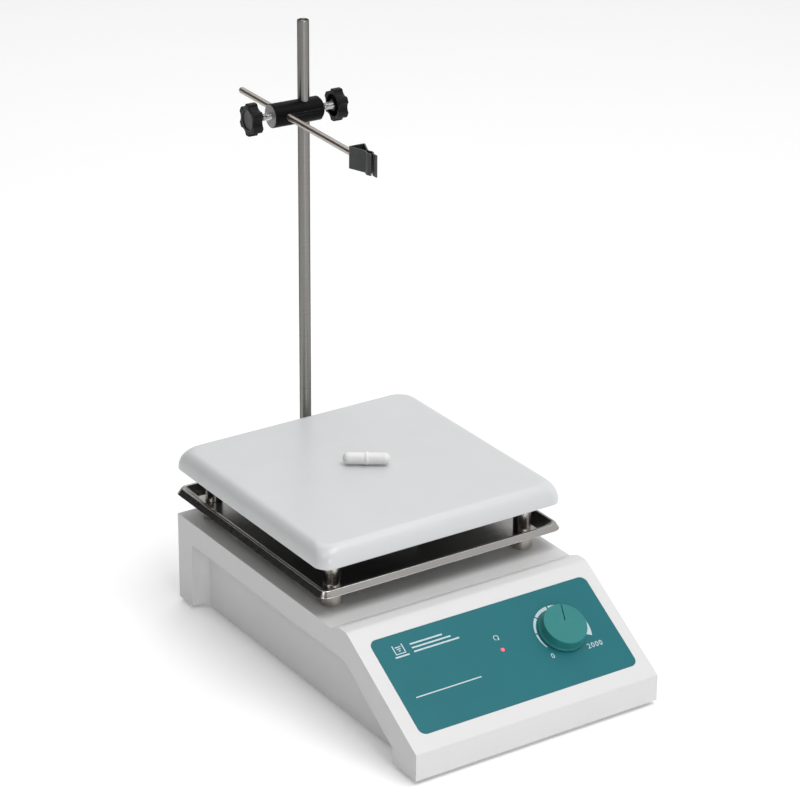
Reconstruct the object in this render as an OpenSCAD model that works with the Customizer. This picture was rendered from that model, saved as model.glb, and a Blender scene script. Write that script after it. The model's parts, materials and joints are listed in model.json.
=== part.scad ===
// Magnetic stirrer: a moulded housing with a sloping control panel, a ceramic-coated square plate held on
// studs over a drip tray, a motor that turns a magnet under the plate, and a support rod with a clamp
// head, a sliding arm and a spring clip for a probe.
// Millimetres. +Z is up, +Y is to the back and +X is to the right, seen from the front. The origin is on
// the bench, under the middle of the whole part.

/* [Housing] */
// Width of the housing
housing_w = 188; // [186:1:196]
// Length of the housing, from the front lip to the back wall
housing_l = 294; // [290:1:300]
// Height of the front lip above the bottom edge
lip_h = 18.5; // [16:0.5:20]
// Height of the deck above the bottom edge
deck_h = 63.5; // [63:0.5:66]
// Height of the console's ridge above the bottom edge
ridge_h = 67.7; // [67:0.1:69]
// Horizontal run of the sloping panel
slope_run = 80; // [76:1:82]
// Wall thickness of the moulding
wall = 3; // [2.5:0.1:3.5]
// Depth of the hand hold along each side
grip_depth = 10; // [8:1:11]
// Height of the hand hold's upper edge above the bottom edge
grip_h = 47; // [44:1:48]

/* [Plate and tray] */
// Side of the square plate
plate_side = 190; // [184:1:192]
// Height of the plate's lower edge above the bench
plate_z = 101.5; // [100:0.5:104]
// Thickness of the plate at its edge
plate_t = 14; // [13:0.5:16]
// How far in from the side the rounding of the plate's upper edges reaches
plate_edge_w = 8.5; // [5:0.5:10]
// How far down from the top the rounding of the plate's upper edges reaches
plate_edge_h = 13; // [8:0.5:13]
// Distance of each stud from the plate's middle, in both directions
stud_pitch = 75; // [72:1:75]
// Height of the tray's floor above the deck
tray_lift = 12; // [10:1:14]

/* [Support rod and clamp] */
// Diameter of the support rod
rod_d = 8; // [8:0.1:8.2]
// Height of the rod's top above the bench
rod_top = 395; // [380:5:420]
// Height of the clamp head's axis above the bench
clamp_z = 332; // [250:1:350]
// Turn of the clamp head about the rod, in degrees
clamp_yaw = -2.5; // [-5:0.5:5]
// Diameter of the sliding arm
arm_d = 4.5; // [4.5:0.1:4.6]
// Length of the arm behind the clamp head's axis
arm_tail = 59; // [50:1:62]
// Length of the arm in front of the clamp head's axis
arm_reach = 96.5; // [90:0.5:104]

/* [Rest positions] */
// Angle at which the drive magnets and the stir bar rest, in degrees
rotor_rest = -34; // [-90:1:90]
// Clockwise turn of the knob's pointer from straight up the panel, in degrees
knob_rest = 18; // [-125:1:125]
// Length of the stir bar
bar_l = 32; // [25:1:40]

/* [Hidden] */
$fn = 48;
overall_d = 366;
foot_gap = 3;
gap = 0.05;            // clearance between a screw or shaft and its hole
front_y = -overall_d / 2;
back_y = front_y + housing_l;
plate_y = front_y + 202;
deck_z = foot_gap + deck_h;
ceiling_z = deck_z - wall;

// the housing's side view: y from the front, z from the bottom edge
slope_rise = ridge_h - lip_h;
slope_a = atan2(slope_rise, slope_run);
slope_drop = wall / cos(slope_a);
ridge_y = slope_run + 9;
crease_y = ridge_y + 9;
front_leg = 27;
leg_corner_z = 10.8;
knee_y = 82;
rear_leg_y = housing_l - 18.5;
grip_a = atan2(grip_h - leg_corner_z, knee_y - front_leg);
grip_rise = wall / cos(grip_a);
half_w = housing_w / 2;
grip_x = half_w - grip_depth;
core_x = grip_x - wall;

// the control panel, in the frame of the slope: x across, v up the slope, w out of it
panel_x = 1;
panel_w = 169;
panel_v = [11.5, 83.5];
panel_t = 0.5;
panel_r = 5.2;
pocket_d = 0.4;
dial_x = 47;
dial_v = 50.5;
led_x = 1;
knob_h = 9;
pot_hole_r = 3.6;

// the base plate, the feet and their screws
base_z = foot_gap + 0.6;
base_t = 1.2;
base_top = base_z + base_t;
foot_x = 70;
foot_y = [front_y + 20, back_y - 33];
screw_r = 1.5;

// the tray and the plate's fittings
sheet = 0.8;
tray_z = deck_z + tray_lift;
tray_top = tray_z + sheet;
crest_z = tray_z + 7.5;
flange_z = tray_z + 3.3;
tray_floor_x = 84;
tray_crest_x = 91.7;
tray_edge_x = 95.2;
stud_r = 2.5;
stud_hole_r = 2.8;
plate_top = plate_z + plate_t;
plate_skin = 6.5;
plate_ceiling = plate_top - plate_skin;

// the motor, centred under the plate
motor_r = 20;
motor_z = 16;
motor_top = 52;
brush_z = 18.2;
shaft_r = 2.5;
mount_plate_t = 2;
mount_pitch = 26;
holder_z = 99;
magnet_x = 24;

// the back panel's fittings
inlet_x = -50;
fuse_x = -16;
fitting_z = 33;

// the support rod and its bracket
rod_x = 17;
rod_y = back_y + 12.8;
rod_r = rod_d / 2;
rod_foot_z = 30;
bracket_z = [26, 62];
bracket_back_y = back_y + 24;
lock_z = 46;
lock_neck = 4;
lug_x = 17;
lug_z = 44;

// the clamp head, along its own axis from the rod
boss_r = 8.2;
boss_left = 25.3;
boss_right = 12.4;
arm_x = 15.4;
arm_r = arm_d / 2;
thread_r = 2.5;
arm_neck = 10.8;        // bare length of each thumb screw between the head and its knob
rod_neck = 9.6;
knob_t = 7;
clip_h = 14.8;
clip_w = 12.6;
clip_sheet = 0.9;
clip_neck = 13;         // from the clip's back plate to its neck
groove_y = -17;         // the probe groove's axis, in front of the back plate
groove_r = 1.5;
short_lip = 20.2;
long_lip = 24.7;

// ---- helpers ----

function unit(v) = v / norm(v);

// points of the arc that rounds corner p between its neighbours a and b
function rounded(a, p, b, r, n = 6) = let (
    u = unit(a - p),
    v = unit(b - p),
    half = acos(u * v) / 2,
    c = p + unit(u + v) * r / sin(half),
    s = p + u * r / tan(half) - c,
    e = p + v * r / tan(half) - c,
    from = atan2(s.y, s.x),
    turn = (atan2(e.y, e.x) - from + 540) % 360 - 180
) [for (i = [0:n]) c + r * [cos(from + turn * i / n), sin(from + turn * i / n)]];

function slope_z(y) = lip_h + slope_rise * y / slope_run;
function grip_z(y) = leg_corner_z + (grip_h - leg_corner_z) * (y - front_leg) / (knee_y - front_leg);

// children drawn in the frame of the sloping panel
module on_panel(x = 0, v = 0, w = 0) {
    translate([0, front_y, foot_gap + lip_h]) rotate([slope_a, 0, 0]) translate([x, v, w]) children();
}

// children drawn with their Z axis pointing out of the back wall
module on_back(x, z) {
    translate([x, back_y, z]) rotate([-90, 0, 0]) children();
}

// children drawn about the clamp head's centre on the rod, with X along the head
module in_clamp() {
    translate([rod_x, rod_y, clamp_z]) rotate([0, 0, clamp_yaw]) children();
}

// children drawn about the rotor's axis, turned to its rest angle
module on_rotor() {
    translate([0, plate_y, 0]) rotate([0, 0, rotor_rest]) children();
}

module at_corners(x, y) {
    for (i = [-1, 1], j = [-1, 1]) translate([i * x, j * y, 0]) children();
}

module at_studs() {
    translate([0, plate_y, 0]) at_corners(stud_pitch, stud_pitch) children();
}

module at_feet() {
    for (x = [-foot_x, foot_x], y = foot_y) translate([x, y, 0]) children();
}

// a side-view outline of the housing, drawn across the width from x0 to x1
module across(x0, x1) {
    translate([x0, front_y, foot_gap]) rotate([90, 0, 90]) linear_extrude(x1 - x0) children();
}

module rounded_square(x, y, r) {
    square([x, y - 2 * r], center = true);
    square([x - 2 * r, y], center = true);
    for (i = [-1, 1], j = [-1, 1]) translate([i * (x / 2 - r), j * (y / 2 - r)]) circle(r);
}

// a solid whose section along X and along Y are both the child outline, drawn in x and z
module square_form(size) {
    intersection() {
        translate([0, size, 0]) rotate([90, 0, 0]) linear_extrude(2 * size) children();
        translate([-size, 0, 0]) rotate([90, 0, 90]) linear_extrude(2 * size) children();
    }
}

module tube(r_out, r_in, h) {
    difference() {
        cylinder(r = r_out, h = h);
        translate([0, 0, -1]) cylinder(r = r_in, h = h + 2);
    }
}

// a screw along +Z: the head under z = 0, the shank above it, and a cross recess in the head
module screw(head_r, head_h, shank_r, shank_l) {
    difference() {
        translate([0, 0, -head_h]) cylinder(r = head_r, h = head_h);
        for (a = [0, 90]) rotate([0, 0, a])
            translate([-head_r * 0.6, -0.4, -head_h - 1]) cube([head_r * 1.2, 0.8, 1 + head_h * 0.5]);
    }
    translate([0, 0, -0.1]) cylinder(r = shank_r, h = shank_l + 0.1);
}

module hex_nut(r, h, bore_r) {
    difference() {
        cylinder(r = r, h = h, $fn = 6);
        translate([0, 0, -1]) cylinder(r = bore_r, h = h + 2);
    }
}

// a smooth path through hand-placed points, and a round lead swept along it
function spline_at(p, i, t) = let (
    n = len(p) - 1,
    a = p[max(i - 1, 0)],
    b = p[i],
    c = p[min(i + 1, n)],
    d = p[min(i + 2, n)]
) 0.5 * (2 * b + (c - a) * t + (2 * a - 5 * b + 4 * c - d) * t * t + (3 * b - a - 3 * c + d) * t * t * t);
function smooth_path(p, n = 4) = concat(
    [for (i = [0:len(p) - 2], k = [0:n - 1]) spline_at(p, i, k / n)], [p[len(p) - 1]]);
function heading(p, i) = unit(p[min(i + 1, len(p) - 1)] - p[max(i - 1, 0)]);

module lead(points, r, sides = 8) {
    p = smooth_path(points);
    n = len(p);
    up = [0.31, 0.42, 0.85];
    rings = [for (i = [0:n - 1]) let (
        t = heading(p, i),
        u = unit(cross(up, t)),
        v = cross(t, u)
    ) for (k = [0:sides - 1]) p[i] + r * (cos(360 * k / sides) * u + sin(360 * k / sides) * v)];
    walls = [for (i = [0:n - 2], k = [0:sides - 1]) let (
        a = i * sides + k,
        b = i * sides + (k + 1) % sides
    ) [a, a + sides, b + sides, b]];
    ends = [[for (k = [0:sides - 1]) k], [for (k = [sides - 1:-1:0]) (n - 1) * sides + k]];
    polyhedron(rings, concat(walls, ends));
}

// ---- housing ----

module housing_outline() {
    lip = [0, lip_h];
    top = [slope_run, ridge_h];
    ridge = [ridge_y, ridge_h];
    crease = [crease_y, deck_h];
    seam = [[0, 0], [0.2, -0.5], [0.6, -0.5], [0.8, 0]];
    polygon(concat([[0, 0]], rounded([0, 0], lip, top, 1.5), rounded(lip, top, ridge, 7),
        rounded(top, ridge, crease, 5), [for (p = seam) crease + p], [[housing_l, deck_h], [housing_l, 0]]));
}

module grip_outline() {
    polygon([[front_leg, -1], [front_leg, leg_corner_z], [knee_y, grip_h], [rear_leg_y, grip_h],
        [rear_leg_y, -1]]);
}

// the hollow between the two hand holds
module core_outline() {
    roof = ridge_h - wall;
    roof_y = (roof + slope_drop - lip_h) * slope_run / slope_rise;
    polygon([[wall, -1], [wall, slope_z(wall) - slope_drop], [roof_y, roof], [ridge_y - 1, roof],
        [crease_y - 1, deck_h - wall], [housing_l - wall, deck_h - wall], [housing_l - wall, -1]]);
}

// the hollow inside the rim above each hand hold and inside the four legs
module rim_outline() {
    roof = ridge_h - wall;
    roof_y = (roof + slope_drop - lip_h) * slope_run / slope_rise;
    floor_z = grip_h + wall;
    floor_y = knee_y + (wall - grip_rise) * (knee_y - front_leg) / (grip_h - leg_corner_z);
    front_in = front_leg - wall;
    polygon([[wall, -1], [wall, slope_z(wall) - slope_drop], [roof_y, roof], [ridge_y - 1, roof],
        [crease_y - 1, deck_h - wall], [housing_l - wall, deck_h - wall], [housing_l - wall, -1],
        [rear_leg_y + wall, -1], [rear_leg_y + wall, floor_z], [floor_y, floor_z],
        [front_in, grip_z(front_in) + grip_rise], [front_in, -1]]);
}

module grip_cut() {
    fillet_r = 8;
    difference() {
        across(grip_x, half_w + 1) grip_outline();
        translate([grip_x, front_y + rear_leg_y - fillet_r, -1]) difference() {
            translate([-1, 0, 0]) cube([fillet_r + 1, fillet_r + 1, grip_h + 20]);
            translate([fillet_r, 0, -1]) cylinder(r = fillet_r, h = grip_h + 22);
        }
    }
}

module housing_openings() {
    on_panel(panel_x, (panel_v[0] + panel_v[1]) / 2, -pocket_d)
        linear_extrude(5) rounded_square(panel_w, panel_v[1] - panel_v[0], panel_r);
    on_panel(dial_x, dial_v, -10) cylinder(r = pot_hole_r, h = 20);
    on_panel(led_x, dial_v, -10) cylinder(r = 3, h = 20);
    translate([0, plate_y, deck_z - 10]) cylinder(r = 8, h = 20);
    at_studs() translate([0, 0, deck_z - 10]) cylinder(r = stud_hole_r, h = 20);
    on_back(inlet_x, fitting_z) {
        translate([-13.8, -10.1, -10]) cube([27.6, 20.2, 20]);
        for (i = [-1, 1]) translate([i * 20, 0, -10]) cylinder(r = 1.7, h = 20);
    }
    on_back(fuse_x, fitting_z) translate([0, 0, -10]) cylinder(r = 6.1, h = 20);
    for (i = [-1, 1]) on_back(rod_x + i * lug_x, lug_z) translate([0, 0, -10]) cylinder(r = 2.1, h = 20);
    for (i = [0:5]) translate([50 + 5.5 * i, back_y - 10, 22]) cube([2.5, 20, 26]);
}

module housing_bosses() {
    intersection() {
        at_feet() translate([0, 0, base_top]) cylinder(r = 4.5, h = 80);
        across(-half_w, half_w) housing_outline();
    }
    translate([0, plate_y, motor_top + 5]) at_corners(mount_pitch, mount_pitch)
        cylinder(r = 4.5, h = ceiling_z - motor_top - 4);
}

module housing_shell() {
    color([0.91, 0.91, 0.90]) difference() {
        union() {
            difference() {
                across(-half_w, half_w) housing_outline();
                across(-core_x, core_x) core_outline();
                across(-half_w + wall, -core_x + 1) rim_outline();
                across(core_x - 1, half_w - wall) rim_outline();
            }
            housing_bosses();
        }
        grip_cut();
        mirror([1, 0, 0]) grip_cut();
        housing_openings();
        at_feet() translate([0, 0, base_top - 1]) cylinder(r = screw_r + gap, h = 20);
        translate([0, plate_y, motor_top]) at_corners(mount_pitch, mount_pitch)
            cylinder(r = screw_r + gap, h = 10.5);
    }
}

module panel_overlay() {
    h = panel_v[1] - panel_v[0];
    color([0.19, 0.44, 0.46]) difference() {
        on_panel(panel_x, (panel_v[0] + panel_v[1]) / 2, -pocket_d)
            linear_extrude(panel_t) rounded_square(panel_w - 0.3, h - 0.3, panel_r - 0.15);
        on_panel(dial_x, dial_v, -3) cylinder(r = pot_hole_r, h = 6);
        on_panel(led_x, dial_v, -3) cylinder(r = 1.6, h = 6);
    }
}

module base_plate() {
    inset = wall + 0.3;
    color([0.62, 0.63, 0.64]) difference() {
        translate([-core_x + 0.3, front_y + inset, base_z])
            cube([2 * core_x - 0.6, housing_l - 2 * inset, base_t]);
        at_feet() translate([0, 0, base_z - 1]) cylinder(r = 2, h = 4);
        for (i = [-4:4]) translate([i * 7 - 1.5, plate_y - 22, base_z - 1]) cube([3, 44, 4]);
    }
}

module rubber_feet() {
    color([0.09, 0.09, 0.09]) at_feet() difference() {
        cylinder(r1 = 7.4, r2 = 8.2, h = base_z);
        translate([0, 0, -1]) cylinder(r = 4, h = 3.2);
        translate([0, 0, -1]) cylinder(r = 1.9, h = 6);
    }
}

module base_screws() {
    color([0.75, 0.75, 0.76]) at_feet() translate([0, 0, 2.2]) screw(3.2, 1.4, screw_r, 18);
}

// ---- plate, tray and their fittings ----

module tray_outside() {
    polygon([[-tray_edge_x, flange_z], [-tray_edge_x, flange_z + 0.5], [-tray_crest_x - 1, crest_z - 0.4],
        [-tray_crest_x + 0.5, crest_z], [tray_crest_x - 0.5, crest_z], [tray_crest_x + 1, crest_z - 0.4],
        [tray_edge_x, flange_z + 0.5], [tray_edge_x, flange_z], [tray_edge_x, tray_z],
        [-tray_edge_x, tray_z]]);
}

module tray_basin(floor_x, floor_z, rim_x, rim_z) {
    polygon([[-floor_x, floor_z], [floor_x, floor_z], [rim_x, rim_z], [rim_x, rim_z + 9],
        [-rim_x, rim_z + 9], [-rim_x, rim_z]]);
}

// the space between the basin's outside and the turned-down flange
module tray_under_flange() {
    inner_x = tray_crest_x - 0.3;
    low_x = tray_edge_x - 0.8;
    difference() {
        square_form(120) polygon([[-low_x, tray_z - 2], [low_x, tray_z - 2], [low_x, flange_z + 0.1],
            [inner_x, crest_z - 1], [-inner_x, crest_z - 1], [-low_x, flange_z + 0.1]]);
        square_form(130) tray_basin(tray_floor_x, tray_z, tray_crest_x - 0.3, crest_z);
    }
}

module drip_tray() {
    color([0.45, 0.45, 0.44]) translate([0, plate_y, 0]) difference() {
        union() {
            difference() {
                intersection() {
                    square_form(100) tray_outside();
                    translate([0, 0, tray_z - 1]) linear_extrude(20)
                        rounded_square(2 * tray_edge_x, 2 * tray_edge_x, 5);
                }
                square_form(110) tray_basin(tray_floor_x - 0.6, tray_top, tray_crest_x - 1, crest_z);
                tray_under_flange();
            }
            translate([0, 0, tray_z]) cylinder(r = 12, h = 7);
        }
        translate([0, 0, tray_z - 1]) cylinder(r = 11.2, h = 10);
        at_corners(stud_pitch, stud_pitch) translate([0, 0, tray_z - 1]) cylinder(r = stud_hole_r, h = 4);
    }
}

module lower_spacers() {
    color([0.72, 0.69, 0.65]) at_studs() translate([0, 0, deck_z]) tube(7.3, stud_hole_r, tray_lift);
}

module upper_spacers() {
    color([0.78, 0.76, 0.72]) at_studs() translate([0, 0, tray_top])
        tube(6, stud_hole_r, plate_z - tray_top);
}

module plate_outline() {
    h = plate_side / 2;
    steps = 9;
    edge = [for (i = [0:steps]) let (a = 90 * i / steps)
        [h - plate_edge_w * (1 - cos(a)), plate_top - plate_edge_h * (1 - sin(a))]];
    polygon(concat([[-h, plate_z], [h, plate_z]], edge,
        [for (i = [steps:-1:0]) [-edge[i].x, edge[i].y]]));
}

module ceramic_plate() {
    color([0.90, 0.92, 0.93]) translate([0, plate_y, 0]) {
        difference() {
            intersection() {
                square_form(100) plate_outline();
                translate([0, 0, plate_z - 1]) linear_extrude(plate_t + 2)
                    rounded_square(plate_side, plate_side, 10);
            }
            translate([0, 0, plate_z - 1]) linear_extrude(plate_t - plate_skin + 1)
                rounded_square(plate_side - 14, plate_side - 14, 6);
        }
        at_corners(stud_pitch, stud_pitch) translate([0, 0, plate_z])
            tube(8, stud_r + gap, plate_ceiling - plate_z + 0.5);
    }
}

module plate_studs() {
    color([0.70, 0.70, 0.71]) at_studs() translate([0, 0, ceiling_z - 7])
        cylinder(r = stud_r, h = plate_ceiling - ceiling_z + 6);
}

module stud_nuts() {
    color([0.72, 0.72, 0.73]) at_studs() translate([0, 0, ceiling_z - 5]) {
        hex_nut(4.6, 4.2, stud_r + gap);
        translate([0, 0, 4]) tube(5.2, stud_r + gap, 1);
    }
}

// ---- rotor, stir bar and motor ----

module stir_bar() {
    r = 4;
    core_l = bar_l - 8;
    color([0.97, 0.97, 0.96]) translate([0, plate_y, plate_top + 4.9]) rotate([0, 90, rotor_rest])
        difference() {
            union() {
                translate([0, 0, -bar_l / 2 + r]) cylinder(r = r, h = bar_l - 2 * r);
                for (i = [-1, 1]) translate([0, 0, i * (bar_l / 2 - r)]) sphere(r);
                rotate_extrude() translate([r - 0.6, 0]) circle(1.2);
            }
            translate([0, 0, -core_l / 2]) cylinder(r = 2.6, h = core_l);
        }
}

module stir_bar_magnet() {
    core_l = bar_l - 8.1;
    color([0.35, 0.35, 0.37]) translate([0, plate_y, plate_top + 4.9]) rotate([0, 90, rotor_rest])
        translate([0, 0, -core_l / 2]) cylinder(r = 2.55, h = core_l);
}

module magnet_holder() {
    color([0.80, 0.81, 0.83]) on_rotor() difference() {
        union() {
            translate([-magnet_x, -11, holder_z]) cube([2 * magnet_x, 22, 5]);
            for (i = [-1, 1]) translate([i * magnet_x, 0, holder_z]) cylinder(r = 11, h = 5);
            translate([0, 0, holder_z - 8]) cylinder(r = 7, h = 9);
        }
        translate([0, 0, holder_z - 10]) cylinder(r = shaft_r + 0.02, h = 20);
        for (i = [-1, 1]) translate([i * magnet_x, 0, holder_z + 2]) cylinder(r = 9.02, h = 5);
        translate([0, 0, holder_z - 4]) rotate([0, 90, 0]) cylinder(r = screw_r + gap, h = 10);
    }
}

module drive_magnets() {
    color([0.60, 0.61, 0.63]) on_rotor()
        for (i = [-1, 1]) translate([i * magnet_x, 0, holder_z + 2]) cylinder(r = 9, h = 6);
}

module holder_screw() {
    color([0.20, 0.20, 0.21]) on_rotor() translate([shaft_r + 0.1, 0, holder_z - 4]) rotate([0, 90, 0])
        difference() {
            cylinder(r = screw_r, h = 4.4);
            translate([0, 0, 3]) cylinder(r = 0.8, h = 2, $fn = 6);
        }
}

module motor_shaft() {
    color([0.76, 0.76, 0.78]) on_rotor() translate([0, 0, 12.6]) cylinder(r = shaft_r, h = holder_z - 8.6);
}

module motor_can() {
    skin = 1.2;
    color([0.66, 0.67, 0.69]) translate([0, plate_y, 0]) difference() {
        union() {
            translate([0, 0, motor_z]) cylinder(r = motor_r, h = motor_top - motor_z);
            translate([0, 0, motor_top - 1]) cylinder(r = 6, h = 5);
        }
        translate([0, 0, motor_z - 1]) cylinder(r = motor_r - skin, h = motor_top - skin - motor_z + 1);
        translate([0, 0, motor_top - 5]) cylinder(r = 4.52, h = 12);
        for (i = [-1, 1]) translate([i * 12, 0, motor_top - 5]) cylinder(r = screw_r + gap, h = 8);
    }
}

module motor_end_cap() {
    color([0.14, 0.14, 0.15]) translate([0, plate_y, 0]) difference() {
        union() {
            translate([0, 0, 12]) cylinder(r = motor_r, h = motor_z - 12);
            translate([0, 0, motor_z - 1]) tube(motor_r - 1.25, motor_r - 3, 3);
            for (i = [-1, 1]) translate([i * 10 - 2.5, -2.6, motor_z - 1]) cube([5, 5.2, 7.2]);
        }
        translate([0, 0, 11]) cylinder(r = 4.52, h = 8);
        for (i = [-1, 1]) translate([i * 10 - 4, -1.75, brush_z - 0.05]) cube([8, 3.5, 3.5]);
        for (i = [-1, 1]) translate([i * 15 - 1, -3, 11]) cube([2, 6, 8]);
    }
}

module motor_brushes() {
    color([0.16, 0.16, 0.17]) translate([0, plate_y, brush_z]) for (a = [0, 180]) rotate([0, 0, a])
        translate([5.15, -1.7, 0]) cube([7, 3.4, 3.4]);
}

module motor_bearings() {
    color([0.72, 0.52, 0.28]) translate([0, plate_y, 0]) {
        translate([0, 0, 12.2]) tube(4.5, shaft_r + gap, 4.4);
        translate([0, 0, motor_top - 2]) tube(4.5, shaft_r + gap, 5.6);
    }
}

module field_magnets() {
    color([0.24, 0.24, 0.26]) translate([0, plate_y, 24]) intersection() {
        tube(motor_r - 1.25, 15.7, 22);
        for (i = [-1, 1]) linear_extrude(22) polygon([[0, 0], [i * 40, -24], [i * 40, 24]]);
    }
}

module rotor_core() {
    slots = 7;
    color([0.45, 0.45, 0.47]) on_rotor() translate([0, 0, 27]) difference() {
        tube(15.2, shaft_r + 0.02, 16);
        for (i = [0:slots - 1]) rotate([0, 0, 360 * i / slots]) {
            translate([9, -1, -1]) cube([8, 2, 18]);
            translate([10.2, 0, -1]) cylinder(r = 2.3, h = 18);
        }
    }
}

module rotor_windings() {
    color([0.78, 0.42, 0.22]) on_rotor() for (z = [22.8, 43.05]) translate([0, 0, z])
        rotate_extrude() translate([9.4, 2.05]) {
            square([4, 4.1], center = true);
            for (i = [-1, 1]) translate([i * 2, 0]) circle(2.05);
        }
}

module commutator() {
    color([0.80, 0.50, 0.28]) on_rotor() translate([0, 0, 17.6]) difference() {
        tube(5, shaft_r + 0.02, 4.6);
        for (a = [0:45:135]) rotate([0, 0, a]) translate([-6, -0.2, 1]) cube([12, 0.4, 5]);
    }
}

module motor_bracket() {
    side = 2 * mount_pitch + 12;
    color([0.70, 0.71, 0.72]) translate([0, plate_y, motor_top]) difference() {
        linear_extrude(mount_plate_t) rounded_square(side, side, 5);
        translate([0, 0, -1]) cylinder(r = 6.3, h = 4);
        for (i = [-1, 1]) translate([i * 12, 0, -1]) cylinder(r = 1.7, h = 4);
        at_corners(mount_pitch, mount_pitch) translate([0, 0, -1]) cylinder(r = 3.55, h = 4);
    }
}

// two screws hold the motor to its bracket, and four hang the bracket from the deck
module motor_screws() {
    color([0.75, 0.75, 0.76]) translate([0, plate_y, motor_top]) {
        for (i = [-1, 1]) translate([i * 12, 0, mount_plate_t]) mirror([0, 0, 1])
            screw(2.8, 1.8, screw_r, 4.5);
        translate([0, 0, -2]) at_corners(mount_pitch, mount_pitch) screw(3.4, 2, screw_r, 11.5);
    }
}

module bracket_grommets() {
    color([0.12, 0.12, 0.12]) translate([0, plate_y, motor_top]) at_corners(mount_pitch, mount_pitch)
        difference() {
            union() {
                translate([0, 0, -2]) cylinder(r = 5.2, h = 2);
                cylinder(r = 3.5, h = mount_plate_t + 0.5);
                translate([0, 0, mount_plate_t]) cylinder(r = 5.2, h = 3);
            }
            translate([0, 0, -3]) cylinder(r = screw_r + 0.2, h = 12);
        }
}

// ---- controls ----

module speed_knob() {
    flare = 1.8;
    color([0.20, 0.47, 0.44]) on_panel(dial_x, dial_v, 0.5) difference() {
        union() {
            cylinder(r = 16.2, h = flare);
            translate([0, 0, flare]) cylinder(r1 = 15.6, r2 = 15.1, h = knob_h - flare - 0.5);
        }
        translate([0, 0, -1]) cylinder(r = 8, h = 4);
        translate([0, 0, -1]) cylinder(r = 3 + 0.02, h = 7.5);
        rotate([0, 0, -knob_rest]) translate([-0.6, 2.5, knob_h - 1.4]) cube([1.2, 14, 2]);
    }
}

module pot_shaft() {
    color([0.74, 0.74, 0.75]) on_panel(dial_x, dial_v, -11) cylinder(r = 3, h = 17.5);
}

module pot_body() {
    color([0.30, 0.42, 0.34]) on_panel(dial_x, dial_v, -wall) difference() {
        union() {
            translate([0, 0, -9]) cylinder(r = 8.5, h = 9);
            cylinder(r = 3.5, h = wall + 2.9);
            for (i = [-1:1]) translate([i * 4 - 0.8, -13, -6]) cube([1.6, 6, 0.6]);
        }
        translate([0, 0, -8.1]) cylinder(r = 3 + gap, h = 20);
    }
}

module pot_nut() {
    color([0.74, 0.74, 0.75]) on_panel(dial_x, dial_v, panel_t - pocket_d)
        translate([0, 0, 0.4]) hex_nut(6, 2, 3.5 + gap);
}

module power_led() {
    color([0.95, 0.25, 0.28]) on_panel(led_x, dial_v, 0) {
        translate([0, 0, -6]) cylinder(r = 1.5, h = 5.3);
        translate([0, 0, -0.7]) sphere(1.5);
        for (i = [-1, 1]) translate([i * 0.8, 0, -12]) cylinder(r = 0.25, h = 6.2);
    }
}

module led_holder() {
    color([0.12, 0.12, 0.12]) on_panel(led_x, dial_v, 0) translate([0, 0, -8]) {
        tube(2.9, 1.55, 8 - pocket_d);
        tube(4.2, 1.55, 8 - wall);
    }
}

module control_board() {
    color([0.16, 0.40, 0.24]) translate([-62, front_y + 26, 11]) difference() {
        cube([124, 56, 1.6]);
        for (x = [5, 119], y = [5, 51]) translate([x, y, -1]) cylinder(r = 1.6, h = 4);
    }
}

module board_standoffs() {
    color([0.88, 0.88, 0.84]) for (x = [-57, 57], y = [front_y + 31, front_y + 77])
        translate([x, y, base_top]) {
            cylinder(r = 3.2, h = 11 - base_top);
            cylinder(r = 1.5, h = 13.4 - base_top);
        }
}

module capacitor() {
    color([0.16, 0.20, 0.34]) translate([-16, front_y + 66, 12.6]) {
        cylinder(r = 8, h = 24);
        translate([0, 0, 23]) tube(7.4, 6, 1.4);
    }
}

module heatsink() {
    color([0.24, 0.24, 0.25]) translate([2, front_y + 60, 12.6]) {
        cube([30, 3, 26]);
        for (i = [0:5]) translate([i * 5.4, 0, 0]) cube([3, 13, 26]);
        translate([10, -4.5, 8]) cube([10, 4.6, 15]);
    }
}

module terminal_block() {
    color([0.20, 0.45, 0.30]) translate([-54, front_y + 62, 12.6]) difference() {
        cube([26, 9, 11]);
        for (i = [0:3]) translate([4 + i * 6, 4.5, 8]) cylinder(r = 2, h = 4);
        for (i = [0:3]) translate([2 + i * 6, 5, 2]) cube([4, 5, 4.5]);
    }
}

// ---- supply and wiring ----

module transformer_core() {
    color([0.42, 0.41, 0.40]) translate([34, back_y - 46, base_top]) difference() {
        translate([-24, -9, 0]) cube([48, 18, 40]);
        for (i = [-1, 1]) translate([i * 12 - 4, -10, 8]) cube([8, 20, 24]);
    }
}

module transformer_coil() {
    color([0.85, 0.72, 0.30]) translate([34, back_y - 46, base_top + 8.2]) difference() {
        linear_extrude(23.6) rounded_square(31.6, 31.6, 4);
        translate([-8.1, -9.1, -1]) cube([16.2, 18.2, 30]);
    }
}

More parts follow.
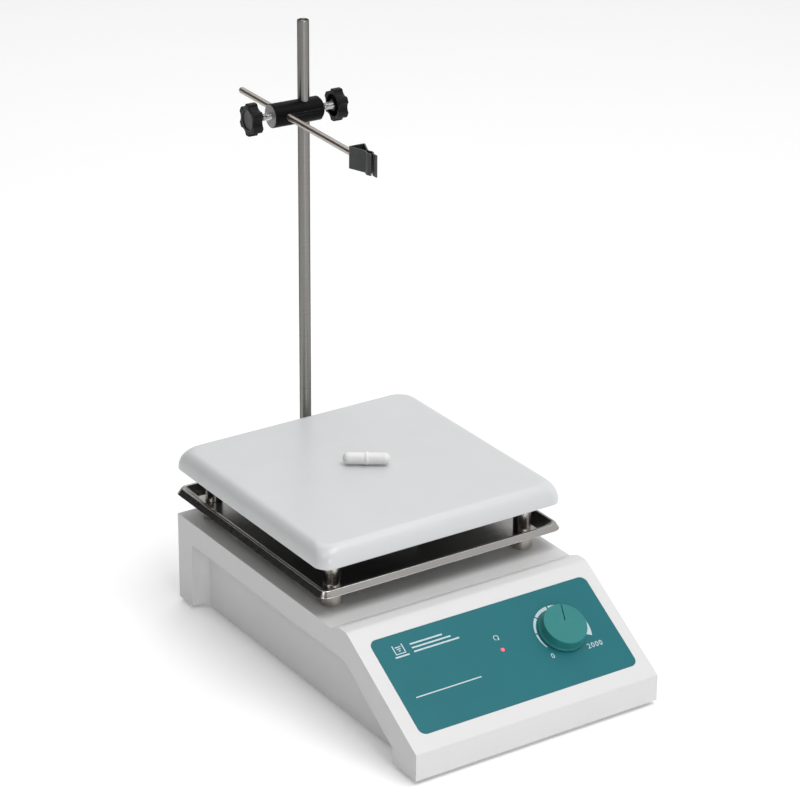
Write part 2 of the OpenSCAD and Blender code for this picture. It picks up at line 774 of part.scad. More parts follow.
// leads from the inlet to the fuse and the transformer, and from the transformer and the motor to the
// terminal block
module wiring() {
    in_y = back_y - 21;
    color([0.55, 0.12, 0.10]) {
        lead([[inlet_x + 7, in_y - 0.4, 37], [inlet_x + 7, in_y - 4, 37], [inlet_x + 8.5, in_y - 8.5, 35],
            [inlet_x + 14, in_y - 15, 30.5], [fuse_x - 7, in_y - 18.5, 27], [fuse_x - 1, in_y - 15.5, 31],
            [fuse_x, in_y - 12.5, 32.7], [fuse_x, in_y - 9.5, 33]], 1.1);
        lead([[inlet_x - 7, in_y - 0.4, 37], [inlet_x - 7, in_y - 4, 37], [inlet_x - 6, in_y - 8, 35.5],
            [inlet_x, in_y - 16, 24], [-24, in_y - 24, 12], [-6, in_y - 20, 14], [8, in_y - 14, 22],
            [13.5, in_y - 13, 24], [17.6, in_y - 13, 24]], 1.1);
        lead([[44, back_y - 62.4, 26], [44, back_y - 65.5, 26], [45, back_y - 69, 24], [48, 30, 15],
            [52, 10, 9], [54, -30, 8.5], [44, -66, 8.5], [18, -84, 12], [-16, -90, 20], [-38, -95, 22],
            [-44, -104, 19.5], [-44, -115, 17]], 1.1);
        for (i = [-1, 1])
            lead([[i * 13, plate_y, 11.8], [i * 13, plate_y - 3, 8.6], [i * 12, plate_y - 24, 7.6],
                [i * 6 - 14, plate_y - 60, 7.6], [i * 3 - 30, plate_y - 94, 8.4],
                [i * 3 - 35, plate_y - 115, 15], [i * 3 - 35, plate_y - 134, 17]], 0.9);
    }
}

module power_inlet() {
    color([0.10, 0.10, 0.11]) on_back(inlet_x, fitting_z) difference() {
        union() {
            linear_extrude(2.4) difference() {
                union() {
                    rounded_square(31, 24, 2);
                    square([40, 10], center = true);
                    for (i = [-1, 1]) translate([i * 20, 0]) circle(5);
                }
                for (i = [-1, 1]) translate([i * 20, 0]) circle(1.7);
            }
            translate([-13.6, -9.9, -18]) cube([27.2, 19.8, 19]);
        }
        translate([0, 0, -16]) linear_extrude(20) rounded_square(24, 16.2, 2);
        for (x = [-7, 7]) translate([x - 1.05, -6.05, -19]) cube([2.1, 4.1, 5]);
        translate([-1.05, 1.95, -19]) cube([2.1, 4.1, 5]);
    }
}

module inlet_pins() {
    color([0.82, 0.80, 0.74]) on_back(inlet_x, fitting_z) {
        for (x = [-7, 7]) translate([x - 1, -6, -21]) cube([2, 4, 17]);
        translate([-1, 2, -21]) cube([2, 4, 18]);
    }
}

module inlet_screws() {
    color([0.20, 0.20, 0.21]) on_back(inlet_x, fitting_z) for (i = [-1, 1]) translate([i * 20, 0, 2.4]) {
        mirror([0, 0, 1]) screw(2.8, 1.6, screw_r, 10);
        translate([0, 0, -2.4 - wall - 2.4]) hex_nut(3.2, 2.4, screw_r + gap);
    }
}

module fuse_holder() {
    color([0.10, 0.10, 0.11]) on_back(fuse_x, fitting_z) difference() {
        union() {
            cylinder(r = 8, h = 2);
            translate([0, 0, -30]) cylinder(r = 6, h = 31);
            translate([0, 0, -wall - 3]) tube(8.5, 5.9, 3);
        }
        translate([0, 0, -28]) cylinder(r = 4.1, h = 40);
    }
}

module fuse_cap() {
    color([0.13, 0.13, 0.14]) on_back(fuse_x, fitting_z) difference() {
        union() {
            translate([0, 0, 2.1]) cylinder(r = 6.6, h = 6);
            translate([0, 0, -8]) cylinder(r = 4.04, h = 11);
        }
        translate([0, 0, -9]) cylinder(r = 2.7, h = 9);
        translate([-5, -0.7, 6.4]) cube([10, 1.4, 3]);
    }
}

module fuse() {
    color([0.80, 0.82, 0.84]) on_back(fuse_x, fitting_z) translate([0, 0, -25]) cylinder(r = 2.6, h = 20);
}

// ---- support rod and clamp ----

module rod_bracket() {
    h = bracket_z[1] - bracket_z[0];
    color([0.68, 0.69, 0.71]) difference() {
        union() {
            translate([rod_x - 23, back_y, bracket_z[0]]) cube([46, 4, h]);
            translate([rod_x - 11, back_y, bracket_z[0]]) cube([22, bracket_back_y - back_y, h]);
        }
        translate([rod_x, rod_y, rod_foot_z]) cylinder(r = rod_r + gap, h = 60);
        translate([rod_x, rod_y, lock_z]) rotate([-90, 0, 0]) cylinder(r = thread_r, h = 40);
        for (i = [-1, 1]) on_back(rod_x + i * lug_x, lug_z) translate([0, 0, -1]) cylinder(r = 2.1, h = 8);
    }
}

module bracket_bolts() {
    color([0.75, 0.75, 0.76]) for (i = [-1, 1]) on_back(rod_x + i * lug_x, lug_z) {
        translate([0, 0, 4]) mirror([0, 0, 1]) screw(3.6, 2.4, 2, 13);
        translate([0, 0, -wall - 3.2]) hex_nut(4, 3.2, 2 + gap);
    }
}

module support_rod() {
    color([0.66, 0.64, 0.62]) translate([rod_x, rod_y, rod_foot_z + 0.1]) {
        cylinder(r = rod_r, h = rod_top - rod_foot_z - 0.9);
        translate([0, 0, rod_top - rod_foot_z - 0.9]) cylinder(r1 = rod_r, r2 = rod_r - 0.8, h = 0.8);
    }
}

module bosshead() {
    color([0.07, 0.07, 0.07]) in_clamp() difference() {
        rotate([0, 90, 0]) {
            translate([0, 0, -boss_left]) cylinder(r1 = boss_r - 0.4, r2 = boss_r, h = 0.4);
            translate([0, 0, -boss_left + 0.4]) cylinder(r = boss_r, h = boss_left + boss_right - 1.9);
            translate([0, 0, boss_right - 1.5]) cylinder(r1 = boss_r, r2 = boss_r - 1.5, h = 1.5);
        }
        translate([0, 0, -20]) cylinder(r = rod_r + gap, h = 40);
        translate([-arm_x, -20, 0]) rotate([-90, 0, 0]) cylinder(r = arm_r + gap, h = 40);
        rotate([0, 90, 0]) cylinder(r = thread_r, h = 20);
        translate([-arm_x, 0, 0]) rotate([0, -90, 0]) cylinder(r = thread_r, h = 20);
    }
}

module clamp_arm() {
    color([0.68, 0.66, 0.64]) in_clamp() translate([-arm_x, arm_tail, 0]) rotate([90, 0, 0]) {
        cylinder(r1 = arm_r - 0.4, r2 = arm_r, h = 0.4);
        translate([0, 0, 0.4]) cylinder(r = arm_r, h = arm_tail + arm_reach - 0.5);
        translate([0, 0, arm_tail + arm_reach - 0.1]) cylinder(r = 1.6, h = 1.3);
        translate([0, 0, arm_tail + arm_reach + 1.2]) cylinder(r = 2.6, h = 0.9);
    }
}

// a spring clip, seen from above: a back plate, two sides that close to a neck, and a pair of jaws
module probe_clip() {
    hw = clip_w / 2;
    neck_x = clip_sheet + 0.2;
    color([0.17, 0.18, 0.18]) in_clamp() translate([-arm_x, -arm_reach, -clip_h / 2]) difference() {
        union() {
            linear_extrude(clip_h) polygon([[-hw, 0], [hw, 0], [hw, -1], [neck_x, -clip_neck],
                [neck_x, groove_y], [-neck_x, groove_y], [-neck_x, -clip_neck], [-hw, -1]]);
            translate([0, groove_y, 0]) cylinder(r = groove_r + clip_sheet, h = clip_h);
            translate([-1.6, -short_lip, 0]) cube([clip_sheet, 3, clip_h]);
            translate([0, -long_lip, 0]) cube([clip_sheet, 6.5, clip_h]);
        }
        translate([0, 0, -1]) linear_extrude(clip_h + 2) polygon([[-hw + 1.3, -1], [hw - 1.3, -1],
            [0.2, -clip_neck], [0.2, groove_y], [-0.2, groove_y], [-0.2, -clip_neck]]);
        translate([0, groove_y, -1]) cylinder(r = groove_r, h = clip_h + 2);
        translate([-0.7, -long_lip - 1, -1]) cube([0.7, long_lip + 1 + groove_y, clip_h + 2]);
        translate([0, 3, clip_h / 2]) rotate([90, 0, 0]) cylinder(r = 1.6 + gap, h = 5);
    }
}

// a star knob along +Z: hollow and open at z = 0, with a hub for the screw
module star_knob() {
    lobes = 6;
    difference() {
        linear_extrude(knob_t) difference() {
            circle(11.2);
            for (i = [0:lobes - 1]) rotate([0, 0, (i + 0.5) * 360 / lobes]) translate([14, 0]) circle(5);
        }
        translate([0, 0, -1]) tube(7.6, 4, knob_t - 2);
        translate([0, 0, knob_t - 1]) cylinder(r = 6.6, h = 2);
        translate([0, 0, -1]) cylinder(r = thread_r + 0.02, h = knob_t - 2);
    }
}

// a thumb screw's stud along +Z, from its tip to inside the knob's hub
module stud_screw(tip_to_knob) {
    r = thread_r - gap;
    cylinder(r1 = r - 0.6, r2 = r, h = 0.6);
    translate([0, 0, 0.6]) cylinder(r = r, h = tip_to_knob + knob_t - 3.6);
}

module left_of_clamp(from_rod) {
    in_clamp() translate([-from_rod, 0, 0]) rotate([0, -90, 0]) children();
}

module right_of_clamp(from_rod) {
    in_clamp() translate([from_rod, 0, 0]) rotate([0, 90, 0]) children();
}

module arm_clamp_knob() {
    color([0.06, 0.06, 0.06]) left_of_clamp(boss_left + arm_neck) star_knob();
}

module arm_clamp_screw() {
    tip = arm_x + arm_r + 0.1;
    color([0.78, 0.78, 0.78]) left_of_clamp(tip) stud_screw(boss_left + arm_neck - tip);
}

module rod_clamp_knob() {
    color([0.06, 0.06, 0.06]) right_of_clamp(boss_right + rod_neck) star_knob();
}

module rod_clamp_screw() {
    tip = rod_r + 0.1;
    color([0.78, 0.78, 0.78]) right_of_clamp(tip) stud_screw(boss_right + rod_neck - tip);
}

module behind_rod(y) {
    translate([rod_x, y, lock_z]) rotate([-90, 0, 0]) children();
}

module rod_lock_knob() {
    color([0.06, 0.06, 0.06]) behind_rod(bracket_back_y + lock_neck) star_knob();
}

module rod_lock_screw() {
    tip = rod_y + rod_r + 0.1;
    color([0.78, 0.78, 0.78]) behind_rod(tip) stud_screw(bracket_back_y + lock_neck - tip);
}

housing_shell();
panel_overlay();
base_plate();
rubber_feet();
base_screws();
drip_tray();
lower_spacers();
upper_spacers();
ceramic_plate();
plate_studs();
stud_nuts();
stir_bar();
stir_bar_magnet();
magnet_holder();
drive_magnets();
holder_screw();
motor_can();
motor_end_cap();
motor_brushes();
motor_bearings();
field_magnets();
rotor_core();
rotor_windings();
commutator();
motor_shaft();
motor_bracket();
motor_screws();
bracket_grommets();
speed_knob();
pot_shaft();
pot_body();
pot_nut();
power_led();
led_holder();
control_board();
board_standoffs();
capacitor();
heatsink();
terminal_block();
transformer_core();
transformer_coil();
wiring();
power_inlet();
inlet_pins();
inlet_screws();
fuse_holder();
fuse_cap();
fuse();
rod_bracket();
bracket_bolts();
support_rod();
bosshead();
clamp_arm();
probe_clip();
arm_clamp_knob();
arm_clamp_screw();
rod_clamp_knob();
rod_clamp_screw();
rod_lock_knob();
rod_lock_screw();
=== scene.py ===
"""Looks for the magnetic stirrer: materials, rounded and detailed pieces, light and camera.

Lengths are written in millimetres and turned into metres by MM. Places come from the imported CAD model:
its nodes' boxes and its joints' axes.
"""

import json
import math

import bmesh
import bpy
from mathutils import Matrix, Vector


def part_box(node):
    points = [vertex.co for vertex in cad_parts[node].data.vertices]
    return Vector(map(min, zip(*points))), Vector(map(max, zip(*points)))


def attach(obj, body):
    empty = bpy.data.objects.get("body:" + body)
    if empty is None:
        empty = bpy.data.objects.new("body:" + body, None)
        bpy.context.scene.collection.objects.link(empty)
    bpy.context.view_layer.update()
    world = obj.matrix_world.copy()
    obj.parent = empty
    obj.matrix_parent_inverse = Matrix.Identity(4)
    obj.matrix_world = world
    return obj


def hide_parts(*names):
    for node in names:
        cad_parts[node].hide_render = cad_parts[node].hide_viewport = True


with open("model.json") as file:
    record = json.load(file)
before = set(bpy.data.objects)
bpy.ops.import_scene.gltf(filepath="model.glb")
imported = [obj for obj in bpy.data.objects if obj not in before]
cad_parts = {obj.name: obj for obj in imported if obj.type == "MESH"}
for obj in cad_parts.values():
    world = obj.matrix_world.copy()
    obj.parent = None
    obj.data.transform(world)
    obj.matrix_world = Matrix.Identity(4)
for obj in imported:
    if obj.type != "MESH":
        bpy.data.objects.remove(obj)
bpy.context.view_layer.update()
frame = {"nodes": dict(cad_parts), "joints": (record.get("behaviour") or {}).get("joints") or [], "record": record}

MM = 0.001
RECORD = frame["record"]
JOINTS = {joint["name"]: joint for joint in frame["joints"]}
SCENE = bpy.context.scene


# ---- places taken from the CAD model ----

def centre(node):
    """The middle of a CAD node's box."""
    low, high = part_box(node)
    return (low + high) / 2


def pivot(joint):
    return Vector(JOINTS[joint]["pos_m"])


def direction(joint):
    return Vector(JOINTS[joint]["axis"]).normalized()


def axes_at(origin, z_axis, x_axis):
    """A placing matrix with its Z along z_axis and its X as near to x_axis as it can be."""
    z = Vector(z_axis).normalized()
    y = z.cross(Vector(x_axis)).normalized()
    x = y.cross(z)
    turn = Matrix((x, y, z)).transposed().to_4x4()
    return Matrix.Translation(origin) @ turn


UP = Vector((0, 0, 1))
RIGHT = Vector((1, 0, 0))
PANEL = axes_at(pivot("speed_knob_turn"), direction("speed_knob_turn"), RIGHT)
PLATE_LOW, PLATE_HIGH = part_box("ceramic_plate")
TRAY_LOW, TRAY_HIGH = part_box("drip_tray")
PLATE_MIDDLE = centre("ceramic_plate")
ROD_X, ROD_Y, _ = pivot("rod_swivel")
ARM_FORWARD = direction("arm_slide")
HEAD_RIGHT = direction("rod_clamp_advance")


# ---- node materials ----

def add(tree, kind, inputs=None, **settings):
    """A shader node with its settings, and with values or links for its inputs."""
    made = tree.nodes.new(kind)
    for key, value in settings.items():
        setattr(made, key, value)
    for key, value in (inputs or {}).items():
        if isinstance(value, bpy.types.NodeSocket):
            tree.links.new(value, made.inputs[key])
        else:
            made.inputs[key].default_value = value
    return made


def noise(tree, where, size_mm, detail=2.0, roughness=0.5):
    """A noise pattern whose features are about size_mm across."""
    scale = 1 / (size_mm * MM)
    made = add(tree, "ShaderNodeTexNoise", {"Vector": where, "Scale": scale, "Detail": detail,
                                            "Roughness": roughness})
    return made.outputs["Fac"]


def remap(tree, value, low, high, to_low, to_high):
    """The value moved from one range to another, and kept inside it."""
    made = add(tree, "ShaderNodeMapRange", {"Value": value, "From Min": low, "From Max": high,
                                            "To Min": to_low, "To Max": to_high})
    return made.outputs["Result"]


def blend_colours(tree, factor, first, second):
    """A mix node for colours, whose colour sockets have only numbers to tell them apart."""
    made = add(tree, "ShaderNodeMix", {0: factor, 6: first, 7: second}, data_type="RGBA")
    return made.outputs[2]


def shade(colour, by):
    """A colour made lighter or darker, with its alpha."""
    return tuple(min(c * by, 1.0) for c in colour) + (1.0,)


def worn_edges(tree, round_mm):
    """How exposed a spot is, up to 0.8 at an edge.

    It is read from how far the surface turns within round_mm, or from the mesh's points when that is 0.
    """
    shape = add(tree, "ShaderNodeNewGeometry")
    if not round_mm:
        return remap(tree, shape.outputs["Pointiness"], 0.52, 0.62, 0.0, 0.8)
    rounded = add(tree, "ShaderNodeBevel", {"Radius": round_mm * MM}, samples=4).outputs["Normal"]
    alike = add(tree, "ShaderNodeVectorMath", {0: rounded, 1: shape.outputs["Normal"]},
                operation="DOT_PRODUCT").outputs["Value"]
    return remap(tree, alike, 0.995, 0.85, 0.0, 0.8)


def surface(name, colour, rough, metallic=0.0, mottle=0.04, mottle_mm=25.0, rough_spread=0.06,
            grain_mm=0.6, grain_depth=0.006, stretch=(1.0, 1.0, 1.0), wear=None, coat=0.0,
            coat_rough=0.1, specular=0.5, edge_tint=1.0, ground=0.0, speck=None, glow=None,
            see_through=0.0, edge_mm=0.0):
    """A procedural material: colour that varies, a grain in the bump, uneven gloss and worn edges.

    colour, wear (the colour of rubbed edges), speck (of small spots) and glow (with its strength) are
    linear RGB. Names that end in _mm are sizes, and grain_depth is the bump's height in millimetres.
    stretch draws the grain out along an axis. ground is how strongly a bar's grinding rings draw its
    highlights out along its own Z. edge_mm is the width of a worn edge.
    """
    material = bpy.data.materials.new(name)
    material.use_nodes = True
    tree = material.node_tree
    tree.nodes.clear()
    place = add(tree, "ShaderNodeTexCoord").outputs["Object"]
    drawn = add(tree, "ShaderNodeMapping", {"Vector": place, "Scale": stretch}).outputs["Vector"]
    broad = noise(tree, place, mottle_mm, detail=3.0)
    fine = noise(tree, drawn, grain_mm, detail=4.0, roughness=0.6)
    smudge = noise(tree, drawn, mottle_mm * 0.35, detail=5.0, roughness=0.65)
    tone = blend_colours(tree, remap(tree, broad, 0.3, 0.7, 0.0, 1.0), shade(colour, 1 - mottle),
                         shade(colour, 1 + mottle))
    tone = blend_colours(tree, remap(tree, fine, 0.35, 0.65, 0.0, mottle), tone, shade(colour, 0.55))
    if speck:
        spots = add(tree, "ShaderNodeTexVoronoi", {"Vector": place, "Scale": 1 / (1.1 * MM)})
        near = remap(tree, spots.outputs["Distance"], 0.0, 0.16, 1.0, 0.0)
        tone = blend_colours(tree, near, tone, speck + (1.0,))
    if wear:
        rubbed = add(tree, "ShaderNodeMath", {0: worn_edges(tree, edge_mm),
                                              1: remap(tree, smudge, 0.35, 0.7, 0.15, 1.0)},
                     operation="MULTIPLY")
        tone = blend_colours(tree, rubbed.outputs[0], tone, wear + (1.0,))
    gloss = remap(tree, smudge, 0.3, 0.7, max(rough - rough_spread, 0.02), rough + rough_spread)
    bump = add(tree, "ShaderNodeBump", {"Height": fine, "Strength": 0.6, "Distance": grain_depth * MM})
    shader = add(tree, "ShaderNodeBsdfPrincipled", {
        "Base Color": tone, "Roughness": gloss, "Normal": bump.outputs["Normal"], "Metallic": metallic,
        "Coat Weight": coat, "Coat Roughness": coat_rough, "Specular IOR Level": specular,
        "Specular Tint": (edge_tint, edge_tint, edge_tint, 1.0), "Transmission Weight": see_through})
    if ground:
        rings = add(tree, "ShaderNodeTangent", direction_type="RADIAL", axis="Z")
        shader.inputs["Anisotropic"].default_value = ground
        shader.inputs["Anisotropic Rotation"].default_value = 0.25
        tree.links.new(rings.outputs["Tangent"], shader.inputs["Tangent"])
    if glow:
        shader.inputs["Emission Color"].default_value = glow[0] + (1.0,)
        shader.inputs["Emission Strength"].default_value = glow[1]
    add(tree, "ShaderNodeOutputMaterial", {"Surface": shader.outputs["BSDF"]})
    return material


TURNED = (0.15, 0.15, 9.0)      # rings round a turned part's own Z
DRAWN = (6.0, 6.0, 0.08)        # lines along a drawn part's own Z
ROLLED = (0.06, 4.0, 4.0)       # lines along a rolled sheet's X

LOOKS = {
    "housing_plastic": surface("housing_plastic", (0.66, 0.66, 0.66), 0.44, mottle=0.012, mottle_mm=60,
                               grain_mm=0.55, grain_depth=0.012, rough_spread=0.05,
                               wear=(0.74, 0.74, 0.73), edge_mm=0.6),
    "panel_film": surface("panel_film", (0.009, 0.140, 0.164), 0.44, mottle=0.035, mottle_mm=45,
                          grain_mm=0.35, grain_depth=0.006, rough_spread=0.05, specular=0.22,
                          wear=(0.10, 0.30, 0.32), edge_mm=0.3),
    "base_steel": surface("base_steel", (0.50, 0.51, 0.52), 0.42, metallic=1.0, mottle=0.10, mottle_mm=9,
                          stretch=ROLLED, grain_mm=0.8, grain_depth=0.01),
    "black_rubber": surface("black_rubber", (0.020, 0.020, 0.021), 0.78, mottle=0.18, mottle_mm=6,
                            grain_mm=0.5, grain_depth=0.03, wear=(0.06, 0.06, 0.06)),
    "fastener_steel": surface("fastener_steel", (0.56, 0.56, 0.57), 0.30, metallic=1.0, mottle=0.08,
                              mottle_mm=2.5, grain_mm=0.3, wear=(0.78, 0.78, 0.78)),
    "tray_steel": surface("tray_steel", (0.44, 0.43, 0.415), 0.24, metallic=1.0, mottle=0.04,
                          mottle_mm=40, grain_mm=1.4, stretch=ROLLED, grain_depth=0.001,
                          rough_spread=0.03, wear=(0.62, 0.60, 0.57)),
    "spacer_steel": surface("spacer_steel", (0.56, 0.52, 0.48), 0.22, metallic=1.0, mottle=0.08,
                            mottle_mm=4, grain_mm=0.5, stretch=TURNED, grain_depth=0.008,
                            wear=(0.80, 0.78, 0.74)),
    "plate_glaze": surface("plate_glaze", (0.60, 0.612, 0.618), 0.34, mottle=0.010, mottle_mm=30,
                           grain_mm=5.0, grain_depth=0.005, rough_spread=0.03, coat=0.3, coat_rough=0.20,
                           wear=(0.70, 0.71, 0.71)),
    "bar_ptfe": surface("bar_ptfe", (0.76, 0.76, 0.75), 0.40, mottle=0.03, mottle_mm=6, grain_mm=0.4,
                        grain_depth=0.01, wear=(0.70, 0.70, 0.69)),
    "magnet_grey": surface("magnet_grey", (0.24, 0.24, 0.25), 0.38, metallic=0.8, mottle=0.12,
                           mottle_mm=4, speck=(0.12, 0.12, 0.12)),
    "alloy": surface("alloy", (0.62, 0.63, 0.65), 0.34, metallic=1.0, mottle=0.07, mottle_mm=8,
                     grain_mm=0.6, stretch=ROLLED, grain_depth=0.01, wear=(0.80, 0.80, 0.81)),
    "motor_steel": surface("motor_steel", (0.46, 0.47, 0.48), 0.32, metallic=1.0, mottle=0.10,
                           mottle_mm=10, stretch=TURNED),
    "black_plastic": surface("black_plastic", (0.022, 0.022, 0.024), 0.46, mottle=0.12, mottle_mm=7,
                             grain_mm=0.4, grain_depth=0.02, wear=(0.075, 0.075, 0.08)),
    "bronze": surface("bronze", (0.50, 0.30, 0.12), 0.40, metallic=1.0, mottle=0.15, mottle_mm=2,
                      speck=(0.20, 0.10, 0.04)),
    "laminations": surface("laminations", (0.22, 0.21, 0.20), 0.45, metallic=0.9, mottle=0.12,
                           mottle_mm=5, stretch=TURNED, grain_depth=0.03),
    "copper": surface("copper", (0.55, 0.22, 0.09), 0.30, metallic=1.0, mottle=0.18, mottle_mm=2,
                      stretch=TURNED, grain_depth=0.05),
    "coil_tape": surface("coil_tape", (0.60, 0.42, 0.05), 0.35, mottle=0.10, mottle_mm=8, stretch=TURNED),
    "carbon": surface("carbon", (0.03, 0.03, 0.03), 0.55, mottle=0.2, mottle_mm=1.5),
    "knob_teal": surface("knob_teal", (0.024, 0.200, 0.197), 0.45, mottle=0.03, mottle_mm=14,
                         grain_mm=0.4, grain_depth=0.010, specular=0.25, wear=(0.10, 0.36, 0.35)),
    "pot_phenolic": surface("pot_phenolic", (0.10, 0.18, 0.13), 0.5, mottle=0.15, mottle_mm=3),
    "led_lens": surface("led_lens", (0.80, 0.10, 0.14), 0.18, mottle=0.06, mottle_mm=1.0, grain_mm=0.3,
                        grain_depth=0.002, glow=((1.0, 0.16, 0.22), 0.75)),
    "board_green": surface("board_green", (0.02, 0.14, 0.06), 0.30, mottle=0.15, mottle_mm=3,
                           speck=(0.50, 0.45, 0.25)),
    "nylon": surface("nylon", (0.72, 0.72, 0.67), 0.5, mottle=0.06, mottle_mm=3),
    "capacitor_sleeve": surface("capacitor_sleeve", (0.03, 0.04, 0.12), 0.25, mottle=0.10, mottle_mm=6),
    "heatsink_black": surface("heatsink_black", (0.04, 0.04, 0.04), 0.45, metallic=0.7, mottle=0.12,
                              mottle_mm=5, stretch=DRAWN, wear=(0.3, 0.3, 0.3)),
    "terminal_green": surface("terminal_green", (0.03, 0.22, 0.09), 0.45, mottle=0.10, mottle_mm=4),
    "wire_red": surface("wire_red", (0.30, 0.02, 0.02), 0.35, mottle=0.08, mottle_mm=5),
    "pin_nickel": surface("pin_nickel", (0.64, 0.61, 0.54), 0.25, metallic=1.0, mottle=0.08, mottle_mm=2,
                          wear=(0.80, 0.74, 0.55)),
    "fuse_glass": surface("fuse_glass", (0.85, 0.88, 0.90), 0.08, mottle=0.02, see_through=0.9),
    "rod_steel": surface("rod_steel", (0.235, 0.23, 0.22), 0.30, metallic=1.0, mottle=0.03,
                         mottle_mm=40, grain_mm=0.6, stretch=TURNED, grain_depth=0.002,
                         rough_spread=0.03, edge_tint=0.12, ground=0.85, wear=(0.55, 0.53, 0.50)),
    "head_black": surface("head_black", (0.003, 0.003, 0.003), 0.42, mottle=0.15, mottle_mm=6,
                          grain_mm=0.7, grain_depth=0.008, specular=0.06, wear=(0.04, 0.04, 0.04)),
    "knob_black": surface("knob_black", (0.005, 0.005, 0.006), 0.40, mottle=0.15, mottle_mm=6,
                          grain_mm=0.4, grain_depth=0.010, specular=0.12, wear=(0.03, 0.03, 0.032)),
    "stud_chrome": surface("stud_chrome", (0.60, 0.60, 0.60), 0.24, metallic=1.0, mottle=0.07,
                           mottle_mm=2, grain_mm=0.3, stretch=TURNED, wear=(0.85, 0.85, 0.85)),
    "clip_steel": surface("clip_steel", (0.036, 0.038, 0.038), 0.42, metallic=0.35, mottle=0.12,
                          mottle_mm=5, grain_mm=0.5, grain_depth=0.010, wear=(0.16, 0.16, 0.16)),
}
PRINT_INK = surface("print_ink", (0.50, 0.60, 0.63), 0.42, mottle=0.04, mottle_mm=3, grain_mm=0.3,
                    grain_depth=0.004)
ARM_STEEL = surface("arm_steel", (0.58, 0.53, 0.49), 0.32, metallic=1.0, mottle=0.03, mottle_mm=30,
                    grain_mm=0.5, grain_depth=0.002, stretch=TURNED, rough_spread=0.03, edge_tint=0.4,
                    ground=0.6, wear=(0.75, 0.70, 0.66))
# painted sheen: a lighter black that stands for light reflected from the left onto the knobs' dished ends
PAINTED_SHEEN_BLACK = surface("painted_sheen_black", (0.045, 0.045, 0.047), 0.45, mottle=0.10, mottle_mm=5, grain_mm=0.4,
                      grain_depth=0.010, specular=0.6, wear=(0.08, 0.08, 0.085))
# bare alloy for the boss's turned end, kept light as painted light from the left
BARE_ALLOY_PAINTED_LIGHT = surface("bare_alloy_painted_light", (0.30, 0.30, 0.295), 0.42, metallic=0.5, mottle=0.18, mottle_mm=2.5,
                     grain_mm=0.35, grain_depth=0.03)
# painted shade: near-black for the plate's hollow underside, which lies in shadow
PAINTED_SHADE_UNDERSIDE = surface("painted_shade_underside", (0.035, 0.035, 0.036), 0.62, mottle=0.12, mottle_mm=12,
                         grain_mm=0.9, grain_depth=0.05, wear=(0.12, 0.12, 0.12))

SLOTS = {entry["node"]: entry["material_slot"] for entry in RECORD["subparts"]}
BODY_OF = {node: body for body, nodes in RECORD["behaviour"]["bodies"].items() for node in nodes}
for node_name, cad_object in frame["nodes"].items():
    cad_object.data.materials.clear()
    cad_object.data.materials.append(LOOKS[SLOTS[node_name]])


# ---- mesh tools ----

def new_object(name, data):
    made = bpy.data.objects.new(name, data)
    SCENE.collection.objects.link(made)
    return made


def finished(piece, node, sharp_deg=35.0):
    """Gives a new piece smooth faces, the body of the CAD node it belongs to, and, if it has none, the material
    for that node's slot.
    """
    if not piece.data.materials:
        piece.data.materials.append(LOOKS[SLOTS[node]])
    piece.data.shade_smooth()
    piece.data.set_sharp_from_angle(angle=math.radians(sharp_deg))
    normals = piece.modifiers.new("normals", "WEIGHTED_NORMAL")
    normals.keep_sharp = True
    normals.weight = 90
    apply_modifiers(piece)
    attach(piece, BODY_OF[node])
    return piece


def stand_for(piece, node, sharp_deg=35.0):
    """Finishes a piece that takes a CAD node's place."""
    finished(piece, node, sharp_deg=sharp_deg)
    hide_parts(node)
    return piece


def object_from(bm, name, place=None):
    """A new object from a bmesh whose lengths are in millimetres."""
    bmesh.ops.recalc_face_normals(bm, faces=bm.faces[:])
    bmesh.ops.scale(bm, vec=(MM, MM, MM), verts=bm.verts[:])
    mesh = bpy.data.meshes.new(name)
    bm.to_mesh(mesh)
    bm.free()
    piece = new_object(name, mesh)
    if place is not None:
        piece.matrix_world = place
    return piece


def evaluated_mesh(made):
    """A mesh of an object as it is with its modifiers, or of a text as it is drawn."""
    bpy.context.view_layer.update()
    return bpy.data.meshes.new_from_object(made.evaluated_get(bpy.context.evaluated_depsgraph_get()))


def apply_modifiers(piece):
    baked = evaluated_mesh(piece)
    piece.modifiers.clear()
    piece.data = baked
    return piece


def cut_away(piece, cutter):
    """Takes the cutter's shape out of a piece and removes the cutter."""
    cut = piece.modifiers.new("cut", "BOOLEAN")
    cut.operation = "DIFFERENCE"
    cut.solver = "EXACT"
    cut.object = cutter
    apply_modifiers(piece)
    bpy.data.objects.remove(cutter)


def bevel(piece, width_mm, segments=3, angle_deg=30.0):
    """Rounds the edges that turn by more than angle_deg."""
    made = piece.modifiers.new("bevel", "BEVEL")
    made.width = width_mm * MM
    made.segments = segments
    made.limit_method = "ANGLE"
    made.angle_limit = math.radians(angle_deg)
    made.use_clamp_overlap = True
    made.miter_outer = "MITER_ARC"
    return apply_modifiers(piece)


def softened(node, width_mm, segments=3):
    """A copy of a CAD node whose hard edges are rounded by width_mm, standing for the node."""
    bm = bmesh.new()
    bm.from_mesh(frame["nodes"][node].data)
    bmesh.ops.remove_doubles(bm, verts=bm.verts[:], dist=0.002 * MM)
    bmesh.ops.dissolve_limit(bm, angle_limit=math.radians(0.6), verts=bm.verts[:], edges=bm.edges[:])
    mesh = bpy.data.meshes.new(node + "_soft")
    bm.to_mesh(mesh)
    bm.free()
    return stand_for(bevel(new_object(node + "_soft", mesh), width_mm, segments), node)


